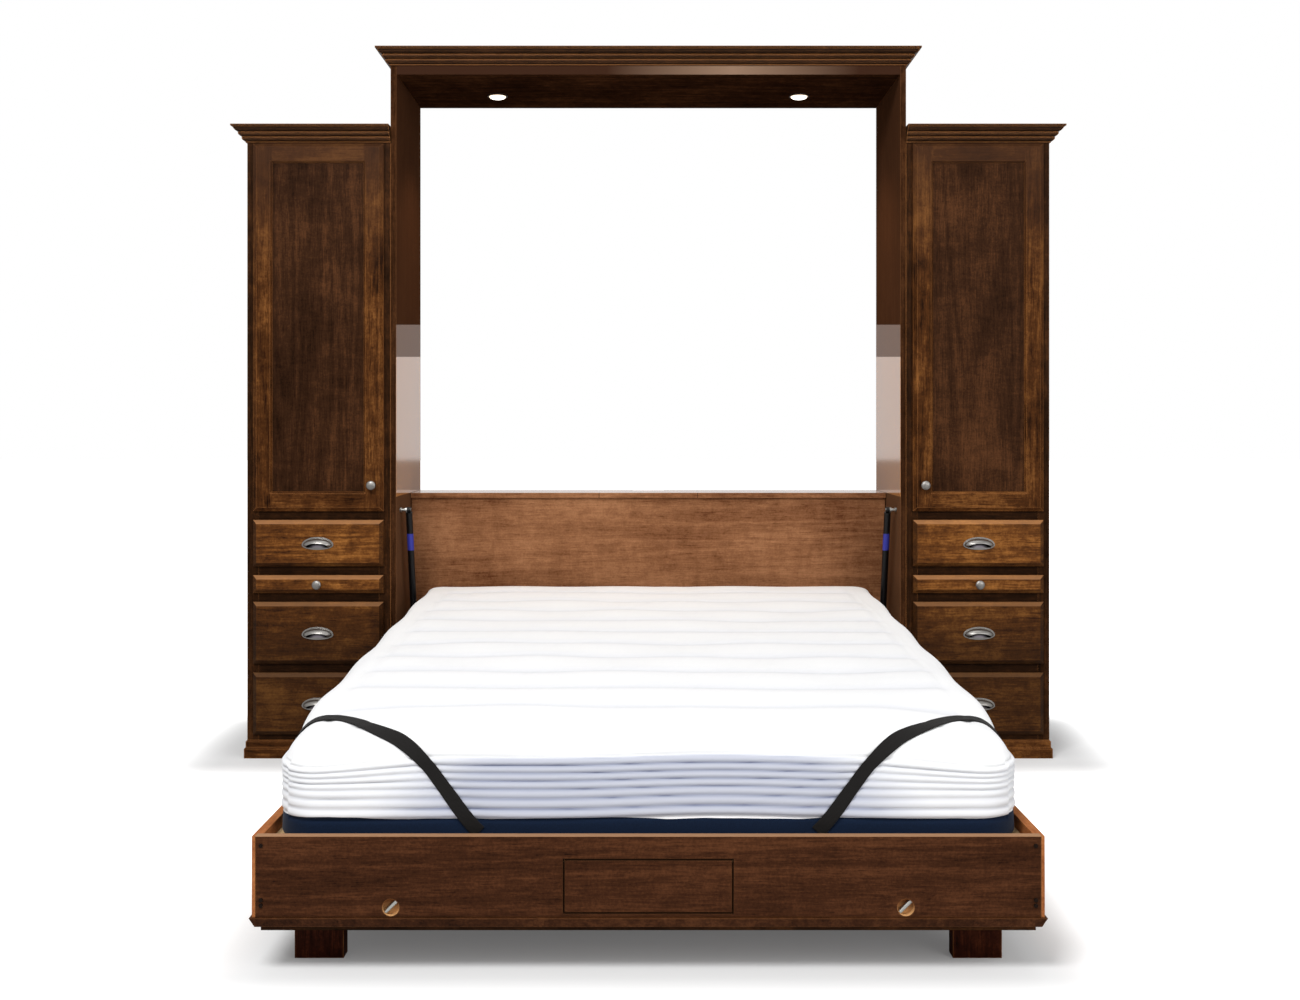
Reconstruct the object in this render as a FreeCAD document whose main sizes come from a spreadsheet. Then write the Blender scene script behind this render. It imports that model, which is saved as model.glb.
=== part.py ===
import FreeCAD, Part
import math
import os
import re

# A wall bed in its cabinet, with a tall cupboard pier on each side.
# X runs across the bed, the wall is at the back (+Y), the foot of the bed is at the front (-Y),
# and Z is up from the floor. The origin is on the floor at the middle of the overall footprint.
# Most places are given as d, the distance out from the wall, because the cabinet is built off it.

# Driving sizes, in millimetres (angles in degrees)
SIZES = {
    # boards and clearances that many pieces share
    "board": 19,
    "running_gap": 0.3,
    "pin_play": 0.05,
    "overrun": 1,
    # mattress and the bed frame around it
    "mattress_width": 1516,
    "mattress_length": 2032,
    "mattress_thick": 260,
    "mattress_corner": 70,
    "mattress_side_gap": 11,
    "mattress_foot_gap": 18,
    "mattress_from_wall": 281,
    "mattress_sink": 27,
    "rail_height": 162,
    "rail_rabbet": 12.5,
    "bed_head_from_wall": 190,
    "deck_thick": 12,
    "ledger_height": 19,
    "slat_width": 90,
    "slat_count": 6,
    # cabinet face carried under the bed, and the folding legs
    "face_panel_thick": 20,
    "face_panel_lip": 5,
    "face_bevel": 9,
    "face_frame_thick": 10,
    "face_frame_inset": 14,
    "face_frame_width": 64,
    "leg_height": 90,
    "leg_width": 101,
    "leg_thick": 38,
    "leg_from_side": 59,
    "leg_from_foot": 105,
    "leg_plate_thick": 6,
    "leg_plate_margin": 12,
    "leg_pin_inset": 6,
    "leg_pin_radius": 3,
    "leg_ear_thick": 3,
    "leg_ear_drop": 16,
    # footboard
    "insert_width": 334,
    "insert_height": 104,
    "insert_from_bottom": 8,
    "insert_gap": 2,
    "keeper_hole_radius": 16.5,
    "keeper_hole_from_side": 276,
    "keeper_hole_from_bottom": 20,
    "keeper_hole_depth": 13,
    "keeper_bar_radius": 4.5,
    "keeper_bar_depth": 7,
    "screw_head_radius": 4,
    "screw_head_thick": 2.5,
    "screw_from_end": 18,
    "screw_top_drop": 19,
    "screw_low_rise": 24,
    "screw_pitch": 11,
    # webbing straps over the foot corners of the mattress
    "strap_width": 34,
    "strap_thick": 2,
    "strap_side_reach": 150,
    "strap_foot_spread": 310,
    "strap_low_spread": 378,
    # main cabinet
    "side_clearance": 44,
    "stowed_wall_gap": 70,
    "soffit_gap": 16,
    "header_reveal": 30,
    "crown_height": 54,
    "crown_reach": 44,
    "cleat_height": 100,
    "cleat_hole_radius": 3.5,
    "cleat_hole_span": 1219,
    "puck_from_side": 303,
    "puck_from_wall": 201,
    "puck_radius": 35,
    "puck_thick": 5,
    "puck_lens_radius": 29,
    "puck_lens_thick": 3,
    "puck_dome_depth": 9,
    # pivot of the bed
    "pivot_from_wall": 350,
    "pivot_pin_radius": 8,
    "pivot_collar_radius": 13,
    "pivot_plate_radius": 30,
    "pivot_plate_thick": 4,
    # headboard with its folding ledge
    "wall_clearance": 6,
    "ledge_top": 862,
    "ledge_thick": 18,
    "ledge_depth": 216,
    "ledge_overhang": 10,
    "ledge_end_gap": 2,
    "ledge_centre_width": 344,
    "ledge_pin_radius": 4,
    "ledge_pin_reach": 14,
    "cord_slot_width": 114,
    "cord_slot_depth": 20,
    "headboard_thick": 18,
    "headboard_drop": 40,
    "headboard_end_gap": 3,
    # gas struts
    "strut_stud_height": 815,
    "strut_stud_from_front": 70,
    "strut_stud_radius": 5,
    "strut_nut_radius": 8,
    "strut_nut_thick": 6,
    "strut_offset": 14,
    "strut_crank": 80,
    "strut_crank_angle": 155,
    "strut_tube_radius": 11,
    "strut_bore_radius": 8,
    "strut_tube_length": 400,
    "strut_end_wall": 8,
    "strut_rod_radius": 4,
    "strut_piston_length": 14,
    "strut_piston_travel_gap": 12,
    "strut_eye_radius": 9,
    "strut_eye_width": 12,
    # cupboard piers
    "pier_width": 473,
    "pier_step_down": 255,
    "stile_width": 38,
    "frame_rail": 45,
    "front_gap": 29,
    "front_side_reveal": 21.5,
    "front_base_reveal": 19,
    "front_thick": 19,
    "front_bevel_width": 13,
    "front_bevel_depth": 10,
    "deep_front": 204,
    "tray_front": 59,
    "top_front": 153,
    "door_crown_gap": 4,
    "door_stile": 64,
    "door_moulding": 6,
    "door_recess": 9,
    "door_panel_thick": 6,
    "back_thick": 6,
    "base_height": 60,
    "base_thick": 9,
    "drawer_wall": 12,
    "drawer_base": 6,
    "drawer_side_gap": 2,
    "drawer_top_gap": 25,
    "drawer_rear_gap": 35,
    "runner_width": 35,
    "shelf_setback": 25,
    "shelf_count": 2,
    # pulls and knobs
    "knob_radius": 15,
    "knob_cap_thick": 6,
    "knob_neck_radius": 6,
    "knob_foot_radius": 9,
    "knob_foot_thick": 3,
    "knob_length": 24,
    "knob_from_edge": 37,
    "knob_above_door": 86,
    "pull_width": 104,
    "pull_rise": 26,
    "pull_drop": 16,
    "pull_depth": 25,
    "pull_wall": 2.5,
    "pull_rim": 4,
    "pull_plate_thick": 2.5,
    "pull_hood_drop": 9,
    "pull_mouth_width": 74,
    "pull_mouth_height": 15,
}

# Places that follow from the sizes, one formula each
PLACES = {
    # heights of the bed, from the floor up
    "face_low": "leg_height",
    "face_panel_low": "face_low + face_frame_thick",
    "rail_low": "face_panel_low + face_panel_thick",
    "rail_top": "rail_low + rail_height",
    "deck_top": "rail_top - mattress_sink",
    "deck_low": "deck_top - deck_thick",
    "mattress_top": "deck_top + mattress_thick",
    "leg_plate_low": "face_low - leg_plate_thick",
    "leg_axis_height": "leg_plate_low - leg_pin_inset",
    # bed frame across and along
    "mattress_half": "mattress_width / 2",
    "rail_inner": "mattress_half + mattress_side_gap",
    "rail_outer": "rail_inner + board",
    "mattress_foot": "mattress_from_wall + mattress_length",
    "footboard_back": "mattress_foot + mattress_foot_gap",
    "bed_reach": "footboard_back + board",
    "lip_reach": "bed_reach + face_panel_lip",
    "leg_far_x": "rail_outer - leg_from_side",
    "leg_near_x": "leg_far_x - leg_width",
    "leg_front": "bed_reach - leg_from_foot",
    "leg_back": "leg_front - leg_thick",
    "leg_axis_reach": "leg_back + leg_pin_inset",
    "keeper_hole_x": "rail_outer - keeper_hole_from_side",
    # cabinet around the stowed bed
    "cabinet_inner": "rail_outer + side_clearance",
    "cabinet_outer": "cabinet_inner + board",
    "cabinet_depth": "mattress_top - face_low + stowed_wall_gap",
    "header_back": "cabinet_depth - board",
    "pivot_height": "cabinet_depth + face_low - pivot_from_wall",
    "soffit_height": "pivot_height + lip_reach - pivot_from_wall + soffit_gap",
    "crown_low": "soffit_height + header_reveal",
    "cabinet_height": "crown_low + crown_height",
    "puck_x": "cabinet_inner - puck_from_side",
    "wall_plane": "lip_reach / 2",
    # headboard and ledge
    "ledge_low": "ledge_top - ledge_thick",
    "ledge_reach": "wall_clearance + ledge_depth",
    "ledge_axis_reach": "wall_clearance + ledge_thick / 2",
    "ledge_axis_height": "ledge_top - ledge_thick / 2",
    "headboard_front": "ledge_reach - ledge_overhang",
    "headboard_back": "headboard_front - headboard_thick",
    "headboard_low": "mattress_top - headboard_drop",
    "cleat_top": "ledge_low - wall_clearance",
    # struts
    "strut_plane": "rail_outer + strut_offset",
    "strut_stud_reach": "cabinet_depth - strut_stud_from_front",
    # piers
    "pier_outer": "cabinet_outer + pier_width",
    "pier_inner_face": "cabinet_outer + board",
    "pier_outer_face": "pier_outer - board",
    "pier_middle": "cabinet_outer + pier_width / 2",
    "opening_low_x": "cabinet_outer + stile_width",
    "opening_high_x": "pier_outer - stile_width",
    "front_low_x": "cabinet_outer + front_side_reveal",
    "front_high_x": "pier_outer - front_side_reveal",
    "front_reach": "cabinet_depth + front_thick",
    "pier_height": "cabinet_height - pier_step_down",
    "pier_crown_low": "pier_height - crown_height",
    "rail_overlap": "(frame_rail - front_gap) / 2",
    "bottom_low": "base_height + front_base_reveal",
    "bottom_high": "bottom_low + deep_front",
    "middle_low": "bottom_high + front_gap",
    "middle_high": "middle_low + deep_front",
    "tray_low": "middle_high + front_gap",
    "tray_high": "tray_low + tray_front",
    "top_low": "tray_high + front_gap",
    "top_high": "top_low + top_front",
    "door_low": "top_high + front_gap",
    "door_high": "pier_crown_low - door_crown_gap",
    "door_floor": "door_low + rail_overlap",
    "pier_top_low": "pier_height - board",
}

# Profile of the crown moulding, as shares of its reach and height: a foot, two beads, an ovolo and a fillet
CROWN_SHARES = [
    (0, 0), (0.10, 0), (0.10, 0.05),
    (0.16, 0.07), (0.27, 0.13), (0.33, 0.21), (0.34, 0.28), (0.28, 0.33),
    (0.36, 0.35), (0.48, 0.40), (0.55, 0.48), (0.56, 0.55), (0.50, 0.60),
    (0.58, 0.62), (0.72, 0.67), (0.81, 0.75), (0.85, 0.83), (0.86, 0.88),
    (1, 0.90), (1, 1), (0, 1),
]

# Profile of the base moulding, as shares of its thickness and height
BASE_SHARES = [(0, 0), (1, 0), (1, 0.52), (0.5, 0.60), (0.5, 0.90), (0, 1)]

# Cross-section of the mattress: share of its height, and how far its outline is drawn in there
# as a share of its corner radius
MATTRESS_SECTION_SHARES = [
    (0.0, 0.22), (0.03, 0.06), (0.10, 0.0), (0.22, 0.05), (0.50, 0.0),
    (0.78, 0.05), (0.88, 0.0), (0.94, 0.12), (0.975, 0.36), (0.99, 0.70),
]
MATTRESS_ROLL_SHARE = 0.12

# A strap's path over the mattress: share of the way from the side to the foot, share of the rolled
# edge's height that it lies below the top, and which way it faces (to the side, to the foot, up)
STRAP_PATH_SHARES = [
    (0.0, 1.0, 1, 0, 0), (0.05, 0.40, 1, 0, 1), (0.20, 0.04, 0, 0, 1), (0.48, 0.0, 0, 0, 1),
    (0.75, 0.15, 0, 0, 1), (0.92, 0.46, 0, 1, 1), (1.0, 1.0, 0, 1, 0),
]

DOC = FreeCAD.newDocument("WallBed")
SIZE_SHEET = DOC.addObject("Spreadsheet::Sheet", "Sizes")
PLACE_SHEET = DOC.addObject("Spreadsheet::Sheet", "Places")
NODES = []

RIGHT = FreeCAD.Vector(1, 0, 0)
FORWARD = FreeCAD.Vector(0, -1, 0)
QUARTER_TURN = 90
HALF_TURN = 180
BOTH_SIDES = (("left", -1), ("right", 1))


def with_cells(formula, own_sheet=None):
    """The formula with each size or place written as its cell."""
    def cell(match):
        word = match.group(0)
        if word in SIZES:
            return "Sizes." + word
        if word in PLACES and own_sheet != "Places":
            return "Places." + word
        return word
    return re.sub(r"[A-Za-z_]\w*", cell, formula)


def fill_sheets():
    for row, (name, size) in enumerate(SIZES.items(), start=1):
        SIZE_SHEET.set(f"A{row}", name.replace("_", " "))
        SIZE_SHEET.set(f"B{row}", str(size))
        SIZE_SHEET.setAlias(f"B{row}", name)
    DOC.recompute()
    for row, name in enumerate(PLACES, start=1):
        PLACE_SHEET.set(f"A{row}", name.replace("_", " "))
        PLACE_SHEET.setAlias(f"B{row}", name)
    for row, (name, formula) in enumerate(PLACES.items(), start=1):
        PLACE_SHEET.set(f"B{row}", "=" + with_cells(formula, "Places"))
    DOC.recompute()


def number(name):
    """The value of one size or place."""
    sheet = SIZE_SHEET if name in SIZES else PLACE_SHEET
    return float(sheet.get(name))


def numbers(names):
    return [number(name) for name in names.split()]


def bind(item, name, formula):
    item.setExpression(name, with_cells(formula))


def place(item, x, y, z):
    bind(item, "Placement.Base.x", x)
    bind(item, "Placement.Base.y", y)
    bind(item, "Placement.Base.z", z)


def span_x(x, side):
    """The low and high X of a span that is given as distances from the middle."""
    if side > 0:
        return x
    return f"-({x[1]})", f"-({x[0]})"


def block(name, x, d, z, side=1):
    """A board between two X, two distances from the wall and two heights."""
    low_x, high_x = span_x(x, side)
    item = DOC.addObject("Part::Box", name)
    bind(item, "Length", f"({high_x}) - ({low_x})")
    bind(item, "Width", f"({d[1]}) - ({d[0]})")
    bind(item, "Height", f"({z[1]}) - ({z[0]})")
    place(item, low_x, f"wall_plane - ({d[1]})", z[0])
    return item


def bevel_block(name, x, d, z, bevel, side=1):
    """A board whose front face is smaller than its back face by the bevel on all four sides."""
    low_x, high_x = span_x(x, side)
    item = DOC.addObject("Part::Wedge", name)
    bind(item, "Xmin", f"{low_x} + ({bevel})")
    bind(item, "Xmax", f"{high_x} - ({bevel})")
    bind(item, "X2min", low_x)
    bind(item, "X2max", high_x)
    bind(item, "Zmin", f"{z[0]} + ({bevel})")
    bind(item, "Zmax", f"{z[1]} - ({bevel})")
    bind(item, "Z2min", z[0])
    bind(item, "Z2max", z[1])
    bind(item, "Ymin", f"wall_plane - ({d[1]})")
    bind(item, "Ymax", f"wall_plane - ({d[0]})")
    return item


def bar(name, x, d, z, radius, side=1):
    """A round bar along X."""
    low_x, high_x = span_x(x, side)
    item = DOC.addObject("Part::Cylinder", name)
    item.Placement = FreeCAD.Placement(FreeCAD.Vector(), FreeCAD.Rotation(FreeCAD.Vector(0, 1, 0), QUARTER_TURN))
    bind(item, "Radius", radius)
    bind(item, "Height", f"({high_x}) - ({low_x})")
    place(item, low_x, f"wall_plane - ({d})", z)
    return item


def stud(name, x, d, z, radius, side=1):
    """A round bar that points to the front, between two distances from the wall."""
    item = DOC.addObject("Part::Cylinder", name)
    item.Placement = FreeCAD.Placement(FreeCAD.Vector(), FreeCAD.Rotation(RIGHT, QUARTER_TURN))
    bind(item, "Radius", radius)
    bind(item, "Height", f"({d[1]}) - ({d[0]})")
    place(item, f"{side} * ({x})", f"wall_plane - ({d[0]})", z)
    return item


def disc(name, x, d, z, radius, side=1):
    """An upright round disc between two heights."""
    item = DOC.addObject("Part::Cylinder", name)
    bind(item, "Radius", radius)
    bind(item, "Height", f"({z[1]}) - ({z[0]})")
    place(item, f"{side} * ({x})", f"wall_plane - ({d})", z[0])
    return item


def fused(name, members):
    item = DOC.addObject("Part::MultiFuse", name)
    item.Shapes = members
    return item


def less(name, base, tools):
    """The base with all the tools cut from it."""
    item = DOC.addObject("Part::Cut", name)
    item.Base = base
    item.Tool = tools[0] if len(tools) == 1 else collected(name + "_tools", tools)
    return item


def shared(name, base, tool):
    """What two shapes have in common."""
    item = DOC.addObject("Part::Common", name)
    item.Base = base
    item.Tool = tool
    return item


def collected(name, members):
    item = DOC.addObject("Part::Compound", name)
    item.Links = members
    return item


def formed(name, shape):
    """A piece whose shape is worked out from the sheet's numbers."""
    item = DOC.addObject("Part::Feature", name)
    item.Shape = shape
    item.Placement = FreeCAD.Placement()
    return item


def node(label, item):
    item.Label = label
    NODES.append(item)
    return item


def node_of(label, members):
    """A node of one solid, or of several separate solids."""
    return node(label, members[0] if len(members) == 1 else collected(label + "_set", members))


def point(x, d, z):
    """A point from its X, its distance from the wall and its height."""
    return FreeCAD.Vector(x, number("wall_plane") - d, z)


def closed_wire(points):
    return Part.makePolygon(points + [points[0]])


def skin(wires):
    """A solid with straight sides through closed wires."""
    return Part.makeLoft(wires, True, True)


# Crown mouldings
def scaled_profile(shares, reach, height):
    """Points of a moulding's profile: how far out from the case, and how far up from its foot."""
    return [(out * reach, up * height) for out, up in shares]


def moulding_run(start, end, profile, low):
    """One straight length of moulding between two ends, each a corner and the way its mitre points."""
    wires = []
    for (x, d), (out_x, out_d) in (start, end):
        wires.append(closed_wire([point(x + out_x * out, d + out_d * out, low + up) for out, up in profile]))
    return skin(wires)


def moulding_around(name, corners, profile, low):
    """Mitred lengths of moulding from corner to corner, each a separate solid."""
    runs = [moulding_run(start, end, profile, low) for start, end in zip(corners, corners[1:])]
    return [formed(f"{name}_{i}", run) for i, run in enumerate(runs)]


def pier_corners(side):
    """Corners of a pier that its mouldings go round: at the cabinet, the outer front and the wall."""
    outer, depth, pier_outer = numbers("cabinet_outer cabinet_depth pier_outer")
    return [
        ((side * outer, depth), (0, 1)),
        ((side * pier_outer, depth), (side, 1)),
        ((side * pier_outer, 0), (side, 0)),
    ]


def make_crowns():
    outer, depth = numbers("cabinet_outer cabinet_depth")
    profile = scaled_profile(CROWN_SHARES, *numbers("crown_reach crown_height"))
    corners = [
        ((-outer, 0), (-1, 0)),
        ((-outer, depth), (-1, 1)),
        ((outer, depth), (1, 1)),
        ((outer, 0), (1, 0)),
    ]
    node_of("cabinet_crown", moulding_around("cabinet_crown_run", corners, profile, number("crown_low")))
    pier_runs = []
    for name, side in BOTH_SIDES:
        pier_runs += moulding_around(
            f"pier_crown_run_{name}", pier_corners(side), profile, number("pier_crown_low"))
    node_of("pier_crowns", pier_runs)


# Main cabinet
def make_cabinet():
    for name, side in BOTH_SIDES:
        whole = block(
            f"side_board_{name}", ("cabinet_inner", "cabinet_outer"), ("0", "cabinet_depth"),
            ("0", "cabinet_height"), side)
        pin_hole = bar(
            f"side_pin_hole_{name}", ("cabinet_inner - overrun", "cabinet_inner + board / 2"),
            "ledge_axis_reach", "ledge_axis_height", "ledge_pin_radius", side)
        node(f"cabinet_side_{name}", less(f"side_drilled_{name}", whole, [pin_hole]))
    soffit = block(
        "soffit_board", ("-cabinet_inner", "cabinet_inner"), ("0", "header_back"),
        ("soffit_height", "soffit_height + board"))
    header = block(
        "header_board", ("-cabinet_inner", "cabinet_inner"), ("header_back", "cabinet_depth"),
        ("soffit_height", "cabinet_height"))
    node_of("cabinet_top", [soffit, header])
    make_cleats()
    make_puck_lights()


def make_cleats():
    """Rails at the wall: under the crown, behind the headboard and on the floor."""
    spans = {
        "top": ("soffit_height + board", "cabinet_height"),
        "headboard": ("cleat_top - cleat_height", "cleat_top"),
        "floor": ("0", "cleat_height"),
    }
    cleats = []
    for name, z in spans.items():
        whole = block(f"cleat_board_{name}", ("-cabinet_inner", "cabinet_inner"), ("0", "board"), z)
        if name == "floor":
            cleats.append(whole)
            continue
        holes = [
            stud(
                f"cleat_hole_{name}_{end}", "cleat_hole_span / 2", ("-overrun", "board + overrun"),
                f"(({z[0]}) + ({z[1]})) / 2", "cleat_hole_radius", side)
            for end, side in BOTH_SIDES
        ]
        cleats.append(less(f"cleat_{name}", whole, holes))
    node_of("wall_cleats", cleats)


def make_puck_lights():
    housings = []
    lenses = []
    lens_low = "soffit_height - puck_thick"
    for name, side in BOTH_SIDES:
        body = disc(
            f"puck_body_{name}", "puck_x", "puck_from_wall",
            (lens_low, "soffit_height"), "puck_radius", side)
        seat = disc(
            f"puck_seat_{name}", "puck_x", "puck_from_wall",
            (f"{lens_low} - overrun", f"{lens_low} + puck_lens_thick"), "puck_lens_radius", side)
        housings.append(less(f"puck_housing_{name}", body, [seat]))
        seated = disc(
            f"puck_lens_seat_{name}", "puck_x", "puck_from_wall",
            (lens_low, f"{lens_low} + puck_lens_thick"), "puck_lens_radius - running_gap", side)
        dome = DOC.addObject("Part::Ellipsoid", f"puck_dome_{name}")
        dome.Angle2 = 0
        bind(dome, "Radius1", "puck_dome_depth")
        bind(dome, "Radius2", "puck_lens_radius - running_gap")
        bind(dome, "Radius3", "puck_lens_radius - running_gap")
        place(dome, f"{side} * puck_x", "wall_plane - puck_from_wall", lens_low)
        lenses.append(fused(f"puck_lens_{name}", [seated, dome]))
    node_of("puck_light_housings", housings)
    node_of("puck_light_lenses", lenses)


def make_cabinet_pins():
    """Pivot pins of the bed, end pins of the ledge and upper studs of the struts."""
    pieces = []
    for name, side in BOTH_SIDES:
        plate = bar(
            f"pivot_plate_{name}", ("cabinet_inner - pivot_plate_thick", "cabinet_inner"),
            "pivot_from_wall", "pivot_height", "pivot_plate_radius", side)
        collar = bar(
            f"pivot_collar_{name}", ("rail_outer + running_gap", "cabinet_inner - pivot_plate_thick"),
            "pivot_from_wall", "pivot_height", "pivot_collar_radius", side)
        pin = bar(
            f"pivot_pin_{name}", ("rail_inner + overrun", "cabinet_inner - pivot_plate_thick"),
            "pivot_from_wall", "pivot_height", "pivot_pin_radius", side)
        pieces.append(fused(f"bed_pivot_{name}", [plate, collar, pin]))
        pieces.append(bar(
            f"ledge_pin_{name}", ("cabinet_inner - ledge_pin_reach", "cabinet_inner + board / 2"),
            "ledge_axis_reach", "ledge_axis_height", "ledge_pin_radius", side))
        eye_inner = "strut_plane - strut_eye_width / 2"
        shank = bar(
            f"strut_stud_shank_{name}", (f"{eye_inner} - overrun", "cabinet_inner"),
            "strut_stud_reach", "strut_stud_height", "strut_stud_radius", side)
        nut = bar(
            f"strut_stud_nut_{name}", ("cabinet_inner - strut_nut_thick", "cabinet_inner"),
            "strut_stud_reach", "strut_stud_height", "strut_nut_radius", side)
        washer_face = "strut_plane + strut_eye_width / 2 + running_gap"
        washer = bar(
            f"strut_stud_washer_{name}", (washer_face, f"{washer_face} + strut_nut_thick"),
            "strut_stud_reach", "strut_stud_height", "strut_nut_radius", side)
        pieces.append(fused(f"strut_stud_{name}", [shank, nut, washer]))
    node_of("cabinet_pins", pieces)


# Headboard and ledge
def make_headboard():
    half = "cabinet_inner - ledge_end_gap"
    centre_half = "ledge_centre_width / 2"
    d = ("wall_clearance", "ledge_reach")
    z = ("ledge_low", "ledge_top")
    boards = []
    for name, side in BOTH_SIDES:
        wing = block(f"ledge_wing_board_{name}", (centre_half, half), d, z, side)
        hole = bar(
            f"ledge_pin_hole_{name}", ("cabinet_inner - ledge_pin_reach - overrun", "cabinet_inner"),
            "ledge_axis_reach", "ledge_axis_height", "ledge_pin_radius + pin_play", side)
        boards.append(less(f"ledge_wing_{name}", wing, [hole]))
    centre = block("ledge_centre_board", (f"-({centre_half})", centre_half), d, z)
    slot = block(
        "cord_slot", ("-cord_slot_width / 2", "cord_slot_width / 2"),
        ("wall_clearance - overrun", "wall_clearance + cord_slot_depth"),
        ("ledge_low - overrun", "ledge_top + overrun"))
    boards.append(less("ledge_centre", centre, [slot]))
    node_of("headboard_ledge", boards)
    panel_half = "cabinet_inner - headboard_end_gap"
    node("headboard_panel", block(
        "headboard_board", (f"-({panel_half})", panel_half), ("headboard_back", "headboard_front"),
        ("headboard_low", "ledge_low")))


# Bed frame
def make_bed_rails():
    rails = []
    for name, side in BOTH_SIDES:
        whole = block(
            f"rail_board_{name}", ("rail_inner", "rail_outer"), ("bed_head_from_wall", "bed_reach"),
            ("rail_low", "rail_top"), side)
        rabbet = block(
            f"rail_rabbet_{name}", ("rail_inner - overrun", "rail_inner + rail_rabbet"),
            ("footboard_back", "bed_reach + overrun"), ("rail_low - overrun", "rail_top + overrun"), side)
        pivot_hole = bar(
            f"rail_pivot_hole_{name}", ("rail_inner - overrun", "rail_outer + overrun"),
            "pivot_from_wall", "pivot_height", "pivot_pin_radius + pin_play", side)
        rails.append(less(f"bed_rail_{name}", whole, [rabbet, pivot_hole]))
    node_of("bed_rails", rails)
    node("bed_head_rail", block(
        "head_rail_board", ("-rail_inner", "rail_inner"),
        ("bed_head_from_wall", "bed_head_from_wall + board"), ("rail_low", "rail_top")))


def make_footboard():
    half = "rail_inner + rail_rabbet"
    whole = block(
        "footboard_board", (f"-({half})", half), ("footboard_back", "bed_reach"), ("rail_low", "rail_top"))
    through = ("footboard_back - overrun", "bed_reach + overrun")
    window_half = "insert_width / 2 + insert_gap"
    window_low = "rail_low + insert_from_bottom"
    window = block(
        "insert_window", (f"-({window_half})", window_half), through,
        (window_low, f"{window_low} + insert_height + 2 * insert_gap"))
    keeper_height = "rail_low + keeper_hole_from_bottom"
    tools = [window]
    for name, side in BOTH_SIDES:
        tools.append(stud(
            f"keeper_hole_{name}", "keeper_hole_x", ("bed_reach - keeper_hole_depth", "bed_reach + overrun"),
            keeper_height, "keeper_hole_radius", side))
    node("footboard", less("footboard_cut", whole, tools))
    node("footboard_insert", block(
        "insert_board", ("-insert_width / 2", "insert_width / 2"), ("footboard_back", "bed_reach"),
        (f"{window_low} + insert_gap", f"{window_low} + insert_gap + insert_height")))


def make_deck():
    node("deck_panel", block(
        "deck_board", ("-rail_inner", "rail_inner"), ("bed_head_from_wall + board", "footboard_back"),
        ("deck_low", "deck_top")))
    supports = []
    z = ("deck_low - ledger_height", "deck_low")
    for name, side in BOTH_SIDES:
        supports.append(block(
            f"ledger_{name}", ("rail_inner - board", "rail_inner"),
            ("bed_head_from_wall + board", "footboard_back"), z, side))
    count = int(number("slat_count"))
    first = "bed_head_from_wall + board"
    run = f"(footboard_back - ({first}) - slat_width)"
    for index in range(count):
        start = f"{first} + {run} * {index} / ({count} - 1)"
        supports.append(block(
            f"slat_{index}", ("-(rail_inner - board)", "rail_inner - board"),
            (start, f"{start} + slat_width"), z))
    node_of("deck_supports", supports)


def make_face():
    """The cabinet's front, which is carried under the bed: a bevelled panel and its applied frame."""
    half, head, reach = numbers("rail_outer bed_head_from_wall bed_reach")
    lip, bevel, low, high = numbers("face_panel_lip face_bevel face_panel_low rail_low")

    def outline(out, height):
        return closed_wire([
            point(-half - out, head, height), point(half + out, head, height),
            point(half + out, reach + out, height), point(-half - out, reach + out, height),
        ])
    node("face_panel", formed("face_board", skin([outline(lip - bevel, low), outline(lip, high)])))

    edge = "rail_outer - face_frame_inset"
    inner = f"{edge} - face_frame_width"
    head_end = "bed_head_from_wall + face_frame_inset"
    foot_end = "bed_reach - face_frame_inset"
    z = ("face_low", "face_panel_low")
    members = []
    for name, side in BOTH_SIDES:
        members.append(block(f"face_stile_{name}", (inner, edge), (head_end, foot_end), z, side))
    rails = {
        "head": (head_end, f"{head_end} + face_frame_width"),
        "foot": (f"{foot_end} - face_frame_width", foot_end),
    }
    for name, d in rails.items():
        members.append(block(f"face_rail_{name}", (f"-({inner})", inner), d, z))
    muntin = "face_frame_width / 2"
    members.append(block(
        "face_muntin", (f"-({muntin})", muntin),
        (f"{head_end} + face_frame_width", f"{foot_end} - face_frame_width"), z))
    for name, side in BOTH_SIDES:
        members.append(block(
            f"leg_pad_{name}", ("leg_near_x - leg_plate_margin", inner),
            ("leg_back - leg_plate_margin", f"{foot_end} - face_frame_width"), z, side))
    node_of("face_frame", members)


def make_legs():
    """Legs that fold up flat behind themselves, each on a pin between two ears of its plate."""
    axis_d = "leg_axis_reach"
    axis_z = "leg_axis_height"
    round_radius = "leg_pin_inset - running_gap"
    for name, side in BOTH_SIDES:
        x = ("leg_near_x", "leg_far_x")
        lower = block(
            f"leg_lower_{name}", x, ("leg_back + running_gap", "leg_front"), ("0", axis_z), side)
        upper = block(
            f"leg_upper_{name}", x, (axis_d, "leg_front"), (axis_z, "leg_plate_low - running_gap"), side)
        knuckle = bar(f"leg_knuckle_{name}", x, axis_d, axis_z, round_radius, side)
        whole = fused(f"leg_block_{name}", [lower, upper, knuckle])
        pin_hole = bar(
            f"leg_pin_hole_{name}", (f"{x[0]} - overrun", f"{x[1]} + overrun"), axis_d, axis_z,
            "leg_pin_radius + pin_play", side)
        node(f"leg_{name}", less(f"leg_bored_{name}", whole, [pin_hole]))


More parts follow.
